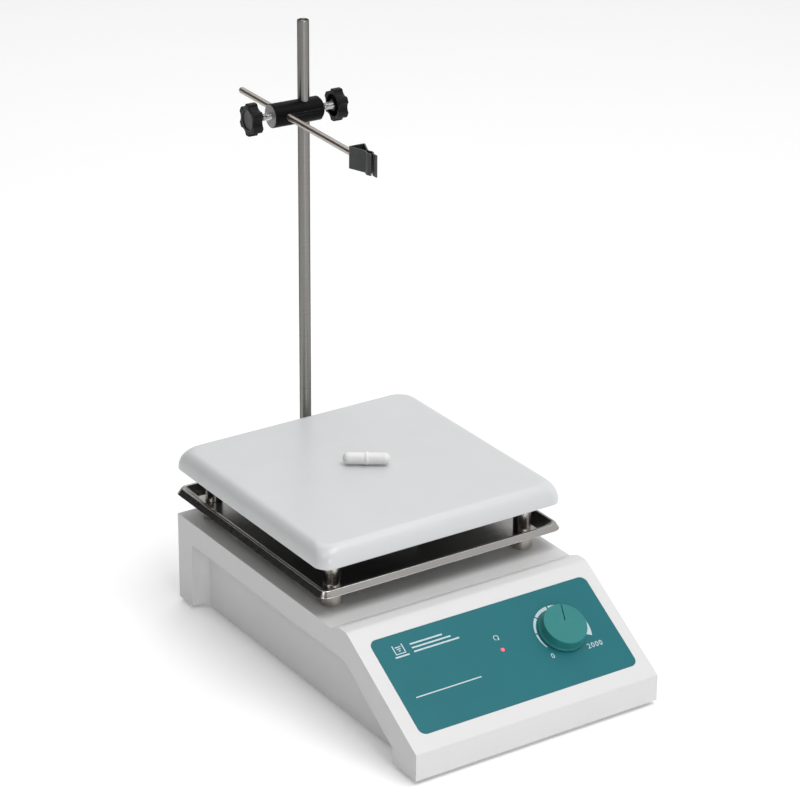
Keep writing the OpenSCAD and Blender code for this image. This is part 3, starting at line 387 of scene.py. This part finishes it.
def skin(bm, rings, closed=False):
    """Faces between successive rings of points. The ends are capped, or joined to each other if closed."""
    made = [[bm.verts.new(p) for p in ring] for ring in rings]
    pairs = list(zip(made, made[1:]))
    if closed:
        pairs.append((made[-1], made[0]))
    for low, high in pairs:
        count = len(low)
        for i in range(count):
            j = (i + 1) % count
            bm.faces.new((low[i], low[j], high[j], high[i]))
    if not closed:
        bm.faces.new(made[0])
        bm.faces.new(made[-1])
    return made


def turn_steps(sides):
    """The angles of equal steps round a full turn."""
    return [2 * math.pi * i / sides for i in range(sides)]


def round_ring(radius, z, turns):
    return [(radius * math.cos(a), radius * math.sin(a), z) for a in turns]


AXIS_GAP = 0.02                     # radius, in mm, at which a turned piece's end is closed


def lathe(bm, profile, sides=96, closed=False):
    """Turns (radius, height) points about Z. A closed profile makes a tube."""
    turns = turn_steps(sides)
    return skin(bm, [round_ring(r, z, turns) for r, z in profile], closed=closed)


def rounded_square(half, radius, z):
    """Points of a square with rounded corners, the same number for every size."""
    points = []
    steps = 10
    for quarter in range(4):
        middle = math.pi / 4 + quarter * math.pi / 2
        corner = Vector((math.copysign(1, math.cos(middle)), math.copysign(1, math.sin(middle))))
        for i in range(steps + 1):
            a = quarter * math.pi / 2 + i * math.pi / (2 * steps)
            points.append((corner.x * (half - radius) + radius * math.cos(a),
                           corner.y * (half - radius) + radius * math.sin(a), z))
    return points


def arc(centre_x, centre_z, radius, start_deg, end_deg, steps=6):
    """Points of an arc in a profile."""
    angles = [math.radians(start_deg + (end_deg - start_deg) * i / steps) for i in range(steps + 1)]
    return [(centre_x + radius * math.cos(a), centre_z + radius * math.sin(a)) for a in angles]


def extrude_outline(bm, outline, low, high):
    """A prism from a closed outline of (x, y) points between two heights."""
    return skin(bm, [[(x, y, low) for x, y in outline], [(x, y, high) for x, y in outline]])


def band(points, half_width):
    """The closed outline of a band of even width along a line of points."""
    left, right = [], []
    for i, point in enumerate(points):
        before = Vector(points[max(i - 1, 0)])
        after = Vector(points[min(i + 1, len(points) - 1)])
        along = (after - before).normalized()
        across = Vector((-along.y, along.x)) * half_width
        left.append(tuple(Vector(point) + across))
        right.append(tuple(Vector(point) - across))
    return left + right[::-1]


# ---- rounded copies of the CAD solids ----

softened("housing_shell", 0.7)
softened("panel_overlay", 0.12, segments=2)
softened("base_plate", 0.25, segments=2)
softened("rod_bracket", 0.6)
softened("power_inlet", 0.35, segments=2)
softened("fuse_holder", 0.35, segments=2)
softened("fuse_cap", 0.4)
bosshead = softened("bosshead", 0.35)
bosshead.data.materials.append(BARE_ALLOY_PAINTED_LIGHT)
for face in bosshead.data.polygons:
    if face.normal.dot(-HEAD_RIGHT) > 0.9:      # the turned end on the left: bare alloy, made lighter as painted light from the left
        face.material_index = 1
softened("rubber_feet", 0.5)
softened("base_screws", 0.12, segments=2)
softened("bracket_bolts", 0.25, segments=2)
softened("inlet_screws", 0.2, segments=2)
softened("inlet_pins", 0.25, segments=2)


# ---- plate, tray and spacers ----

STUD_RADIUS = 2.5
SPACER_BORE = 2.8


def shifted(verts_by_ring, x, y):
    """Moves the points that skin() or lathe() has just made."""
    for ring in verts_by_ring:
        for vert in ring:
            vert.co.x += x
            vert.co.y += y


def at_studs():
    """The four places, in millimetres, of the studs that hold the plate."""
    low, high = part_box("plate_studs")
    inset = Vector((STUD_RADIUS, STUD_RADIUS, 0)) * MM
    low, high = low + inset, high - inset
    return [(x / MM, y / MM) for x in (low.x, high.x) for y in (low.y, high.y)]


def square_rings(profile, middle):
    """Rings of a square form from (half width, corner radius, height) points."""
    rings = []
    for half, radius, z in profile:
        ring = rounded_square(half, radius, z)
        rings.append([(x + middle.x / MM, y + middle.y / MM, h) for x, y, h in ring])
    return rings


def ceramic_plate():
    """The glazed plate: hollow, a boss for each stud, and corners that grow rounder towards the top."""
    half = (PLATE_HIGH.x - PLATE_LOW.x) / 2 / MM
    bottom, top = PLATE_LOW.z / MM, PLATE_HIGH.z / MM
    corner, more_at_top = 10.0, 3.0
    reach, drop, foot = 8.5, 13.0, 0.5          # the upper edge's rounding, and the lower edge's
    hollow, ceiling, fillet, inner_corner = half - 7.0, top - 6.5, 2.5, 6.0
    bore = STUD_RADIUS + 0.05
    profile = [(hollow - fillet - 4, 2.0, ceiling)]
    for h, z in arc(hollow - fillet, ceiling - fillet, fillet, 90, 0):
        profile.append((h, inner_corner + h - hollow, z))
    profile += [(hollow, inner_corner, bottom + 0.8), (hollow + 0.3, inner_corner + 0.3, bottom + 0.2),
                (hollow + 0.9, inner_corner + 0.9, bottom)]
    for h, z in arc(half - foot, bottom + foot, foot, -90, -10):
        profile.append((h, corner + h - half, z))
    for a in turn_steps(64)[:17]:               # a quarter turn
        inset, below = 1 - math.cos(a), 1 - math.sin(a)
        profile.append((half - reach * inset, corner + more_at_top * inset, top - drop * below))
    profile.append((half - reach - 2, corner + more_at_top - 2, top))
    bm = bmesh.new()
    skin(bm, square_rings(profile, PLATE_MIDDLE))
    boss = [(bore, bottom + 0.3), (7.7, bottom), (8.0, bottom + 0.3), (8.0, ceiling + 0.4),
            (bore, ceiling + 0.4)]
    for x, y in at_studs():
        shifted(lathe(bm, boss, sides=40, closed=True), x, y)
    plate = object_from(bm, "plate_top")
    plate.data.materials.append(LOOKS[SLOTS["ceramic_plate"]])
    plate.data.materials.append(PAINTED_SHADE_UNDERSIDE)
    # the hollow underside takes the near-black painted shade
    for face in plate.data.polygons:
        aside = face.center - PLATE_MIDDLE
        if max(abs(aside.x), abs(aside.y)) < (hollow + 0.5) * MM and face.center.z < (ceiling + 1) * MM:
            face.material_index = 1
    return stand_for(plate, "ceramic_plate")


def drip_tray():
    """Pressed sheet: a collar round the shaft, a flat floor, a raised rim and a turned-down flange."""
    low, crest = TRAY_LOW.z / MM, TRAY_HIGH.z / MM
    floor, flange = low + 0.8, low + 3.3
    half = (TRAY_HIGH.x - TRAY_LOW.x) / 2 / MM
    neck, lip = 11.2, low + 7.0
    turning = (40.0, 20.0)              # half width and corner radius where the round form turns square
    collar = [(neck, low), (neck, lip - 0.3), (neck + 0.2, lip), (neck + 0.6, lip),
              (neck + 0.8, lip - 0.3), (neck + 0.8, floor + 1.2), (neck + 1.1, floor + 0.35),
              (neck + 2.0, floor)]
    profile = [(r, r, z) for r, z in collar]
    profile += [(*turning, floor), (83.0, 3.5, floor), (83.7, 3.7, floor + 0.12),
                (84.4, 3.9, floor + 0.5), (90.3, 4.6, crest - 0.75), (90.8, 4.8, crest - 0.25),
                (91.5, 5.0, crest), (92.3, 5.4, crest - 0.12), (92.9, 5.8, crest - 0.5),
                (half - 0.3, 7.6, flange + 0.55), (half, 7.9, flange + 0.25), (half - 0.15, 7.9, flange),
                (half - 0.7, 7.5, flange + 0.1), (92.2, 5.2, crest - 1.35), (91.4, 4.8, crest - 0.85),
                (90.9, 4.5, crest - 1.2), (84.9, 3.6, low + 0.5), (84.2, 3.4, low + 0.12),
                (83.3, 3.2, low), (*turning, low)]
    bm = bmesh.new()
    skin(bm, square_rings(profile, PLATE_MIDDLE), closed=True)
    tray = object_from(bm, "tray_pressed")
    drills = bmesh.new()
    for x, y in at_studs():
        shifted(lathe(drills, [(SPACER_BORE, low - 2), (SPACER_BORE, floor + 2)], sides=40), x, y)
    cut_away(tray, object_from(drills, "stud_drills"))
    return stand_for(tray, "drip_tray", sharp_deg=50)


def spacers(node, radius, name):
    """Four turned tubes with broken edges."""
    low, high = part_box(node)
    bottom, top, edge = low.z / MM, high.z / MM, 0.45
    wall = [(SPACER_BORE, bottom), (radius - edge, bottom), (radius, bottom + edge), (radius, top - edge),
            (radius - edge, top), (SPACER_BORE, top)]
    bm = bmesh.new()
    for x, y in at_studs():
        shifted(lathe(bm, wall, sides=64, closed=True), x, y)
    return stand_for(object_from(bm, name), node, sharp_deg=30)


ceramic_plate()
drip_tray()
spacers("lower_spacers", 7.3, "spacers_under_tray")
spacers("upper_spacers", 6.0, "spacers_over_tray")


# ---- stir bar ----

def long_axis(node):
    """The level direction in which a CAD node is longest."""
    middle = centre(node)
    reach = [vert.co - middle for vert in frame["nodes"][node].data.vertices]
    far = max(reach, key=lambda v: v.length)
    return Vector((far.x, far.y, 0)).normalized()


def span(node, axis, origin):
    """How far a CAD node reaches along an axis from a point, lowest and highest, in millimetres."""
    reach = [(vert.co - origin).dot(axis) / MM for vert in frame["nodes"][node].data.vertices]
    return min(reach), max(reach)


def stir_bar():
    """A capsule with a smooth ring round its middle."""
    middle, axis = centre("stir_bar"), long_axis("stir_bar")
    half = span("stir_bar", axis, middle)[1]
    radius, ring, ring_half = 4.0, 0.6, 1.7
    profile = [(r, z - half + radius) for r, z in arc(0, 0, radius, -90, 0, steps=12)]
    for i in range(13):
        z = ring_half * (i / 6 - 1)
        profile.append((radius + ring * 0.5 * (1 + math.cos(math.pi * z / ring_half)), z))
    profile += [(r, z + half - radius) for r, z in arc(0, 0, radius, 0, 90, steps=12)]
    profile = [(max(r, AXIS_GAP), z) for r, z in profile]
    bm = bmesh.new()
    lathe(bm, profile, sides=64)
    return stand_for(object_from(bm, "stir_bar_capsule", axes_at(middle, axis, UP)), "stir_bar")


stir_bar()


# ---- control panel: knob, lamp and print ----

INK_LOW, INK_HIGH = 0.09, 0.13      # the ink stands just over the film, in mm from the slope
KNOB_REST = 18.0                    # clockwise turn of the pointer from straight up
SCALE_END = 118.0                   # the scale runs this far either way
SCALE_MARKS = (-SCALE_END, -80.0, -39.5, 0.0, 39.5, 79.0, SCALE_END)
DIGIT_HEIGHT = 0.7                  # of the font's size


def on_panel(u, v, w=0.0):
    """A placing matrix on the panel, in millimetres from the knob's middle."""
    return PANEL @ Matrix.Translation(Vector((u, v, w)) * MM)


def speed_knob():
    """A turned knob with a small flange and a groove for its pointer."""
    low, high = span("speed_knob", direction("speed_knob_turn"), pivot("speed_knob_turn"))
    flange, edge = 16.2, 0.55
    profile = [(7.9, low + 3), (8.0, low), (flange - 0.3, low), (flange, low + 0.3), (flange, low + 1.4),
               (flange - 0.25, low + 1.75), (15.7, low + 2.0), (15.55, low + 2.3)]
    profile += arc(15.1 - edge, high - edge, edge, 0, 90)
    profile += [(r, high) for r in (14.0, 13.0)]
    bm = bmesh.new()
    lathe(bm, profile, sides=160)
    knob = object_from(bm, "knob_turned")
    groove_bm = bmesh.new()
    slot = Matrix.Rotation(math.radians(-KNOB_REST), 4, "Z")
    outline = [(-0.6, 20.0), (-0.6, 3.1)] + [(x, y) for x, y in arc(0, 3.1, 0.6, 180, 360)] + [(0.6, 20.0)]
    extrude_outline(groove_bm, outline, high - 1.3, high + 2)
    cut_away(knob, object_from(groove_bm, "groove_cutter", slot))
    bevel(knob, 0.18, segments=2, angle_deg=50)
    knob.matrix_world = PANEL
    return stand_for(knob, "speed_knob", sharp_deg=40)


def lamp():
    """The lamp's dome and its two legs."""
    place = centre("power_led") - pivot("speed_knob_turn")
    low, high = span("power_led", direction("speed_knob_turn"), pivot("speed_knob_turn"))
    u = place.x / MM
    radius, rim = 1.5, high - 1.5
    bm = bmesh.new()
    dome = [(max(r, AXIS_GAP), z) for r, z in arc(0, rim, radius, 0, 90)]
    lathe(bm, [(radius, -6.0), (radius, rim)] + dome, sides=32)
    for x in (-0.8, 0.8):
        shifted(lathe(bm, [(0.25, low), (0.25, -5.9)], sides=12), x, 0)
    return stand_for(object_from(bm, "lamp_dome", on_panel(u, 0)), "power_led")


def printed(bm, name, place):
    """A piece of ink that belongs to the panel's film."""
    piece = object_from(bm, name, place)
    piece.data.materials.append(PRINT_INK)
    finished(piece, "panel_overlay")
    return piece


def scale_print():
    """Six wedges round the knob that widen with the speed."""
    inner, thin, thick, gap = 17.25, 18.1, 21.4, 1.7
    bm = bmesh.new()
    for start, end in zip(SCALE_MARKS, SCALE_MARKS[1:]):
        turns = [start + gap + (end - start - 2 * gap) * i / 16 for i in range(17)]
        outer = [thin + (thick - thin) * (t + SCALE_END) / (2 * SCALE_END) for t in turns]
        outline = [(inner * math.sin(math.radians(t)), inner * math.cos(math.radians(t))) for t in turns]
        outline += [(r * math.sin(math.radians(t)), r * math.cos(math.radians(t)))
                    for r, t in reversed(list(zip(outer, turns)))]
        extrude_outline(bm, outline, INK_LOW, INK_HIGH)
    return printed(bm, "scale_wedges", PANEL)


def number_print(text, u, v, size_mm, name):
    """A printed number, as a thin mesh."""
    curve = bpy.data.curves.new(name, "FONT")
    curve.body = text
    curve.size = size_mm / DIGIT_HEIGHT
    curve.align_x = "CENTER"
    curve.align_y = "CENTER"
    curve.space_character = 1.2
    curve.offset = 0.03
    curve.extrude = (INK_HIGH - INK_LOW) / 2
    curve.resolution_u = 4
    letters = new_object(name, curve)
    mesh = evaluated_mesh(letters)
    bpy.data.objects.remove(letters)
    bm = bmesh.new()
    bm.from_mesh(mesh)
    bmesh.ops.remove_doubles(bm, verts=bm.verts[:], dist=0.001)
    return printed(bm, name, on_panel(u, v, (INK_LOW + INK_HIGH) / 2))


def stroke(bm, points, width):
    """A printed line of even width through points."""
    extrude_outline(bm, band(points, width / 2), INK_LOW, INK_HIGH)


def turn_arrow(bm, x, y, radius, width):
    """A ring with an arrow head, as a mark for stirring."""
    angles = [math.radians(-40 + 290 * i / 28) for i in range(29)]
    stroke(bm, [(x + radius * math.cos(a), y + radius * math.sin(a)) for a in angles], width)
    tip = angles[0]
    head = [(radius - width * 1.5, 0.0), (radius + width * 1.5, 0.0), (radius, -width * 3)]
    head = [(x + u * math.cos(tip) - v * math.sin(tip), y + u * math.sin(tip) + v * math.cos(tip))
            for u, v in head]
    extrude_outline(bm, head, INK_LOW, INK_HIGH)


def vessel(bm, x, y, width, height, line):
    """A beaker with a funnel of stirred liquid, on a plate."""
    half = width / 2
    stroke(bm, [(x - half, y + height), (x - half, y), (x + half, y), (x + half, y + height)], line)
    for i in range(3):
        reach = half * (0.62 - 0.2 * i)
        level = y + height * (0.74 - 0.22 * i)
        stroke(bm, [(x - reach, level), (x + reach, level)], line * 0.8)
    stroke(bm, [(x - half * 1.5, y - 2.0), (x + half * 1.5, y - 2.0)], line * 1.3)


def pictograms():
    """The panel's marks: a vessel and three rules, a rule lower down, and a turn mark at the lamp."""
    bm = bmesh.new()
    vessel(bm, x=-113.5, y=18.6, width=7.0, height=6.6, line=0.85)
    for i in range(3):
        level = 17.2 + 2.9 * i
        stroke(bm, [(-104.5, level), (-70.0 - 5.0 * i, level)], width=1.1)
    stroke(bm, [(-120.0, -13.4), (-70.5, -13.4)], width=0.8)
    turn_arrow(bm, x=-46.0, y=9.2, radius=1.7, width=0.5)
    return printed(bm, "panel_marks", PANEL)


speed_knob()
lamp()
scale_print()
number_print("0", u=-15.5, v=-15.1, size_mm=3.6, name="scale_zero")
number_print("2000", u=17.2, v=-16.4, size_mm=3.6, name="scale_top")
pictograms()


# ---- support rod, arm, clip and thumb screws ----

def support_rod():
    """A ground bar with a broken edge at the top."""
    low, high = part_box("support_rod")
    bottom, top, radius, edge = low.z / MM, high.z / MM, 4.0, 0.7
    profile = [(AXIS_GAP, bottom), (radius - 0.5, bottom), (radius, bottom + 0.5), (radius, top - edge)]
    profile += arc(radius - edge, top - edge, edge, 15, 90, steps=4) + [(AXIS_GAP, top)]
    bm = bmesh.new()
    lathe(bm, profile, sides=96)
    place = Matrix.Translation((ROD_X, ROD_Y, 0))
    return stand_for(object_from(bm, "rod_ground", place), "support_rod")


def clamp_arm():
    """A turned arm with a rivet head that holds the clip."""
    origin = pivot("clip_swivel")
    back, front = span("clamp_arm", ARM_FORWARD, origin)
    radius, pin, head = 2.25, 1.55, 2.6
    shoulder, plate = 0.55, 0.75        # the clip's back plate lies between these two
    profile = [(AXIS_GAP, back), (radius - 0.5, back), (radius - 0.1, back + 0.2), (radius, back + 0.6),
               (radius, -shoulder - 0.35), (radius - 0.3, -shoulder - 0.05), (pin, -shoulder - 0.05),
               (pin, plate), (head, plate), (head, plate + 0.3), (head * 0.75, front - 0.15),
               (head * 0.4, front), (AXIS_GAP, front)]
    bm = bmesh.new()
    lathe(bm, profile, sides=48)
    arm = object_from(bm, "arm_ground", axes_at(origin, ARM_FORWARD, UP))
    arm.data.materials.append(ARM_STEEL)
    return stand_for(arm, "clamp_arm")


def rounded_path(corners, radius):
    """A line through corners, each turned into a short curve."""
    points = [Vector(corners[0])]
    steps = 5
    for before, corner, after in zip(corners, corners[1:], corners[2:]):
        before, corner, after = Vector(before), Vector(corner), Vector(after)
        reach = min(radius, (before - corner).length * 0.49, (after - corner).length * 0.49)
        start = corner + (before - corner).normalized() * reach
        end = corner + (after - corner).normalized() * reach
        for i in range(steps + 1):
            t = i / steps
            points.append(start * (1 - t) ** 2 + corner * 2 * t * (1 - t) + end * t * t)
    points.append(Vector(corners[-1]))
    return points


def probe_clip():
    """A bent strip: short jaw, side, back plate, side and long jaw, seen from above."""
    half = (centre("probe_clip").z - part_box("probe_clip")[0].z) / MM
    half_sheet = 0.45
    side = [(5.8, -0.05), (0.68, -12.9), (2.0, -15.6), (2.0, -18.0)]
    short = [(-1.15, -20.2), (-1.15, -19.3)] + [(-x, y) for x, y in reversed(side)]
    long = side + [(0.47, -19.6), (0.47, -24.7)]
    outline = band(rounded_path(short + long, 1.3), half_sheet)
    bm = bmesh.new()
    extrude_outline(bm, [(x, y - half_sheet) for x, y in outline], -half, half)
    place = axes_at(pivot("clip_swivel") - ARM_FORWARD * 0.5 * MM, UP, -HEAD_RIGHT)
    clip = object_from(bm, "clip_bent_strip", place @ Matrix.Rotation(math.pi, 4, "Z"))
    bevel(clip, 0.16, segments=2, angle_deg=50)
    return stand_for(clip, "probe_clip", sharp_deg=40)


LOBES = 6
THREAD_PITCH = 0.8
THREAD_CREST = 2.45


def lobe_radius(angle):
    """The star knob's outline: a circle with a scoop between each two lobes."""
    rim, cut, cut_at, blend = 11.2, 5.0, 14.0, 0.16
    step = 2 * math.pi / LOBES
    off = (angle % step) - step / 2
    inside = cut ** 2 - (cut_at * math.sin(off)) ** 2
    if inside <= 0:
        return rim
    scoop = cut_at * math.cos(off) - math.sqrt(inside)
    mix = math.exp(-rim / blend) + math.exp(-scoop / blend)
    return min(-blend * math.log(mix), rim)


def end_faces(piece, side_look, end_look, axis, within):
    """Gives the faces that look along an axis, and lie within a distance of it, a look of their own."""
    piece.data.materials.clear()
    piece.data.materials.append(side_look)
    piece.data.materials.append(end_look)
    for face in piece.data.polygons:
        aside = face.center - axis * face.center.dot(axis)
        if face.normal.dot(axis) > 0.9 and aside.length < within:
            face.material_index = 1


def star_knob(node, joint):
    """A lobed knob, hollow towards the screw and dished outside."""
    axis = direction(joint)
    low, high = span(node, axis, pivot(joint))
    turns = turn_steps(216)
    depth = high - low
    hollow = depth - 3.0
    bore = 2.56
    inside = [(bore, hollow + 0.1), (bore, 0.2), (2.7, 0.0), (3.8, 0.0), (4.0, 0.2), (4.1, hollow - 0.4),
              (4.6, hollow), (7.0, hollow), (7.5, hollow - 0.4), (7.6, 0.25), (7.8, 0.0)]
    lobes = [(0.35, 0.0), (0.1, 0.1), (0.0, 0.35), (0.0, depth - 0.7), (0.08, depth - 0.35),
             (0.3, depth - 0.1), (0.6, depth)]      # how far in from the lobes' outline, and how high
    dish = [(7.4, 0.0), (6.9, -0.1), (6.6, -0.45), (6.3, -0.85), (5.8, -1.0), (0.5, -1.0)]
    rings = [round_ring(r, low + z, turns) for r, z in inside]
    for inset, z in lobes:
        reach = [lobe_radius(a) - inset for a in turns]
        rings.append([(r * math.cos(a), r * math.sin(a), low + z) for r, a in zip(reach, turns)])
    rings += [round_ring(r, low + (depth + z), turns) for r, z in dish]
    bm = bmesh.new()
    skin(bm, rings)
    knob = object_from(bm, node + "_lobed", axes_at(pivot(joint), axis, UP))
    # the dished end takes the lighter black of the painted sheen
    end_faces(knob, LOOKS[SLOTS[node]], PAINTED_SHEEN_BLACK, UP, 7.5 * MM)
    return stand_for(knob, node)


def thread_radius(z, angle):
    """A thread with flat crests on a 5 mm screw."""
    depth, flat = 0.42, 0.15
    phase = (z / THREAD_PITCH - angle / (2 * math.pi)) % 1.0
    return THREAD_CREST - depth * max(0.0, 1 - abs(phase - 0.5) * 2 - flat)


def threaded_stud(node, joint, thread_from, thread_to):
    """A stud with a cut thread where it can be seen; distances are from the joint's point."""
    axis = direction(joint)
    low, high = span(node, axis, pivot(joint))
    sides, row = 40, 0.1
    turns = turn_steps(sides)
    rows = int((thread_to - thread_from) / row)
    tip = [(1.3, low), (1.85, low), (THREAD_CREST, low + 0.6), (THREAD_CREST, thread_from - row)]
    rings = [round_ring(r, z, turns) for r, z in tip]
    for i in range(rows + 1):
        z = thread_from + i * row
        rings.append([(thread_radius(z, a) * math.cos(a), thread_radius(z, a) * math.sin(a), z)
                      for a in turns])
    rings += [round_ring(THREAD_CREST, z, turns) for z in (thread_from + rows * row + row, high)]
    bm = bmesh.new()
    skin(bm, rings)
    return stand_for(object_from(bm, node + "_threaded", axes_at(pivot(joint), axis, UP)), node)


support_rod()
clamp_arm()
probe_clip()
THREAD_SHOWN = {"arm_clamp": 11.2, "rod_clamp": 10.0, "rod_lock": 4.4}    # thread seen before the knob
for clamp, shown in THREAD_SHOWN.items():
    knob_node, screw_node, turn_joint = clamp + "_knob", clamp + "_screw", clamp + "_turn"
    star_knob(knob_node, turn_joint)
    knob_start = span(knob_node, direction(turn_joint), pivot(turn_joint))[0]
    threaded_stud(screw_node, turn_joint, knob_start - shown, knob_start + 0.5)


# ---- camera, light and floor ----

def place_camera(target, azimuth_deg, elevation_deg, distance, roll_deg, lens_mm):
    """A camera that looks at target from that side, turned by roll about its own view."""
    azimuth = math.radians(azimuth_deg)
    elevation = math.radians(elevation_deg)
    back = Vector((math.sin(azimuth) * math.cos(elevation), -math.cos(azimuth) * math.cos(elevation),
                   math.sin(elevation)))
    turn = back.to_track_quat("Z", "Y").to_matrix().to_4x4()
    data = bpy.data.cameras.new("camera")
    data.lens = lens_mm
    data.sensor_width = 36.0
    data.clip_start = 0.05
    camera = new_object("camera", data)
    camera.matrix_world = (Matrix.Translation(Vector(target) + back * distance) @ turn
                           @ Matrix.Rotation(math.radians(roll_deg), 4, "Z"))
    SCENE.camera = camera


def area_light(name, place, target, size, watts):
    """A soft white light that faces its target; places and sizes are in metres."""
    data = bpy.data.lights.new(name, "AREA")
    data.shape = "RECTANGLE"
    data.size, data.size_y = size
    data.energy = watts
    light = new_object(name, data)
    light.location = place
    light.rotation_euler = (Vector(place) - Vector(target)).to_track_quat("Z", "Y").to_euler()


def studio_world(low, high):
    """A pale room that is darker to the left of the object than to its right."""
    world = bpy.data.worlds.new("studio")
    SCENE.world = world
    world.use_nodes = True
    tree = world.node_tree
    tree.nodes.clear()
    place = add(tree, "ShaderNodeTexCoord").outputs["Generated"]
    side = add(tree, "ShaderNodeSeparateXYZ", {"Vector": place}).outputs["X"]
    level = remap(tree, side, -0.5, 0.5, low, high)
    back = add(tree, "ShaderNodeBackground", {"Color": (1.0, 1.0, 1.0, 1.0), "Strength": level})
    add(tree, "ShaderNodeOutputWorld", {"Surface": back.outputs["Background"]})


def pale_floor(half_size):
    """A pale sheet under the object, lit a little from within so that it fades into the background."""
    bm = bmesh.new()
    bmesh.ops.create_grid(bm, x_segments=4, y_segments=4, size=half_size)
    mesh = bpy.data.meshes.new("floor")
    bm.to_mesh(mesh)
    bm.free()
    floor = new_object("floor", mesh)
    floor.data.materials.append(surface("floor_paper", (0.86, 0.86, 0.86), 0.85, mottle=0.005,
                                        mottle_mm=300, grain_mm=4.0, grain_depth=0.02,
                                        glow=((1.0, 1.0, 1.0), 0.17)))


SCENE.view_settings.view_transform = "Standard"
place_camera(target=(-0.0055, -0.0291, 0.1823), azimuth_deg=-33.654, elevation_deg=23.942,
             distance=1.95, roll_deg=0.4288, lens_mm=135.57)
studio_world(low=0.02, high=0.74)
area_light("key", place=(0.3, -1.1, 2.6), target=(0, 0, 0.1), size=(1.8, 1.6), watts=40)
area_light("back", place=(0.3, 1.3, 2.6), target=(0, 0.6, 0.1), size=(2.6, 1.8), watts=23)
area_light("left", place=(-1.1, -0.5, 1.5), target=(0, 0, 0.05), size=(0.5, 0.5), watts=4)
area_light("front", place=(-0.6, -2.2, 0.6), target=(-0.05, 0, 0.05), size=(0.6, 0.6), watts=8)
pale_floor(half_size=12.0)
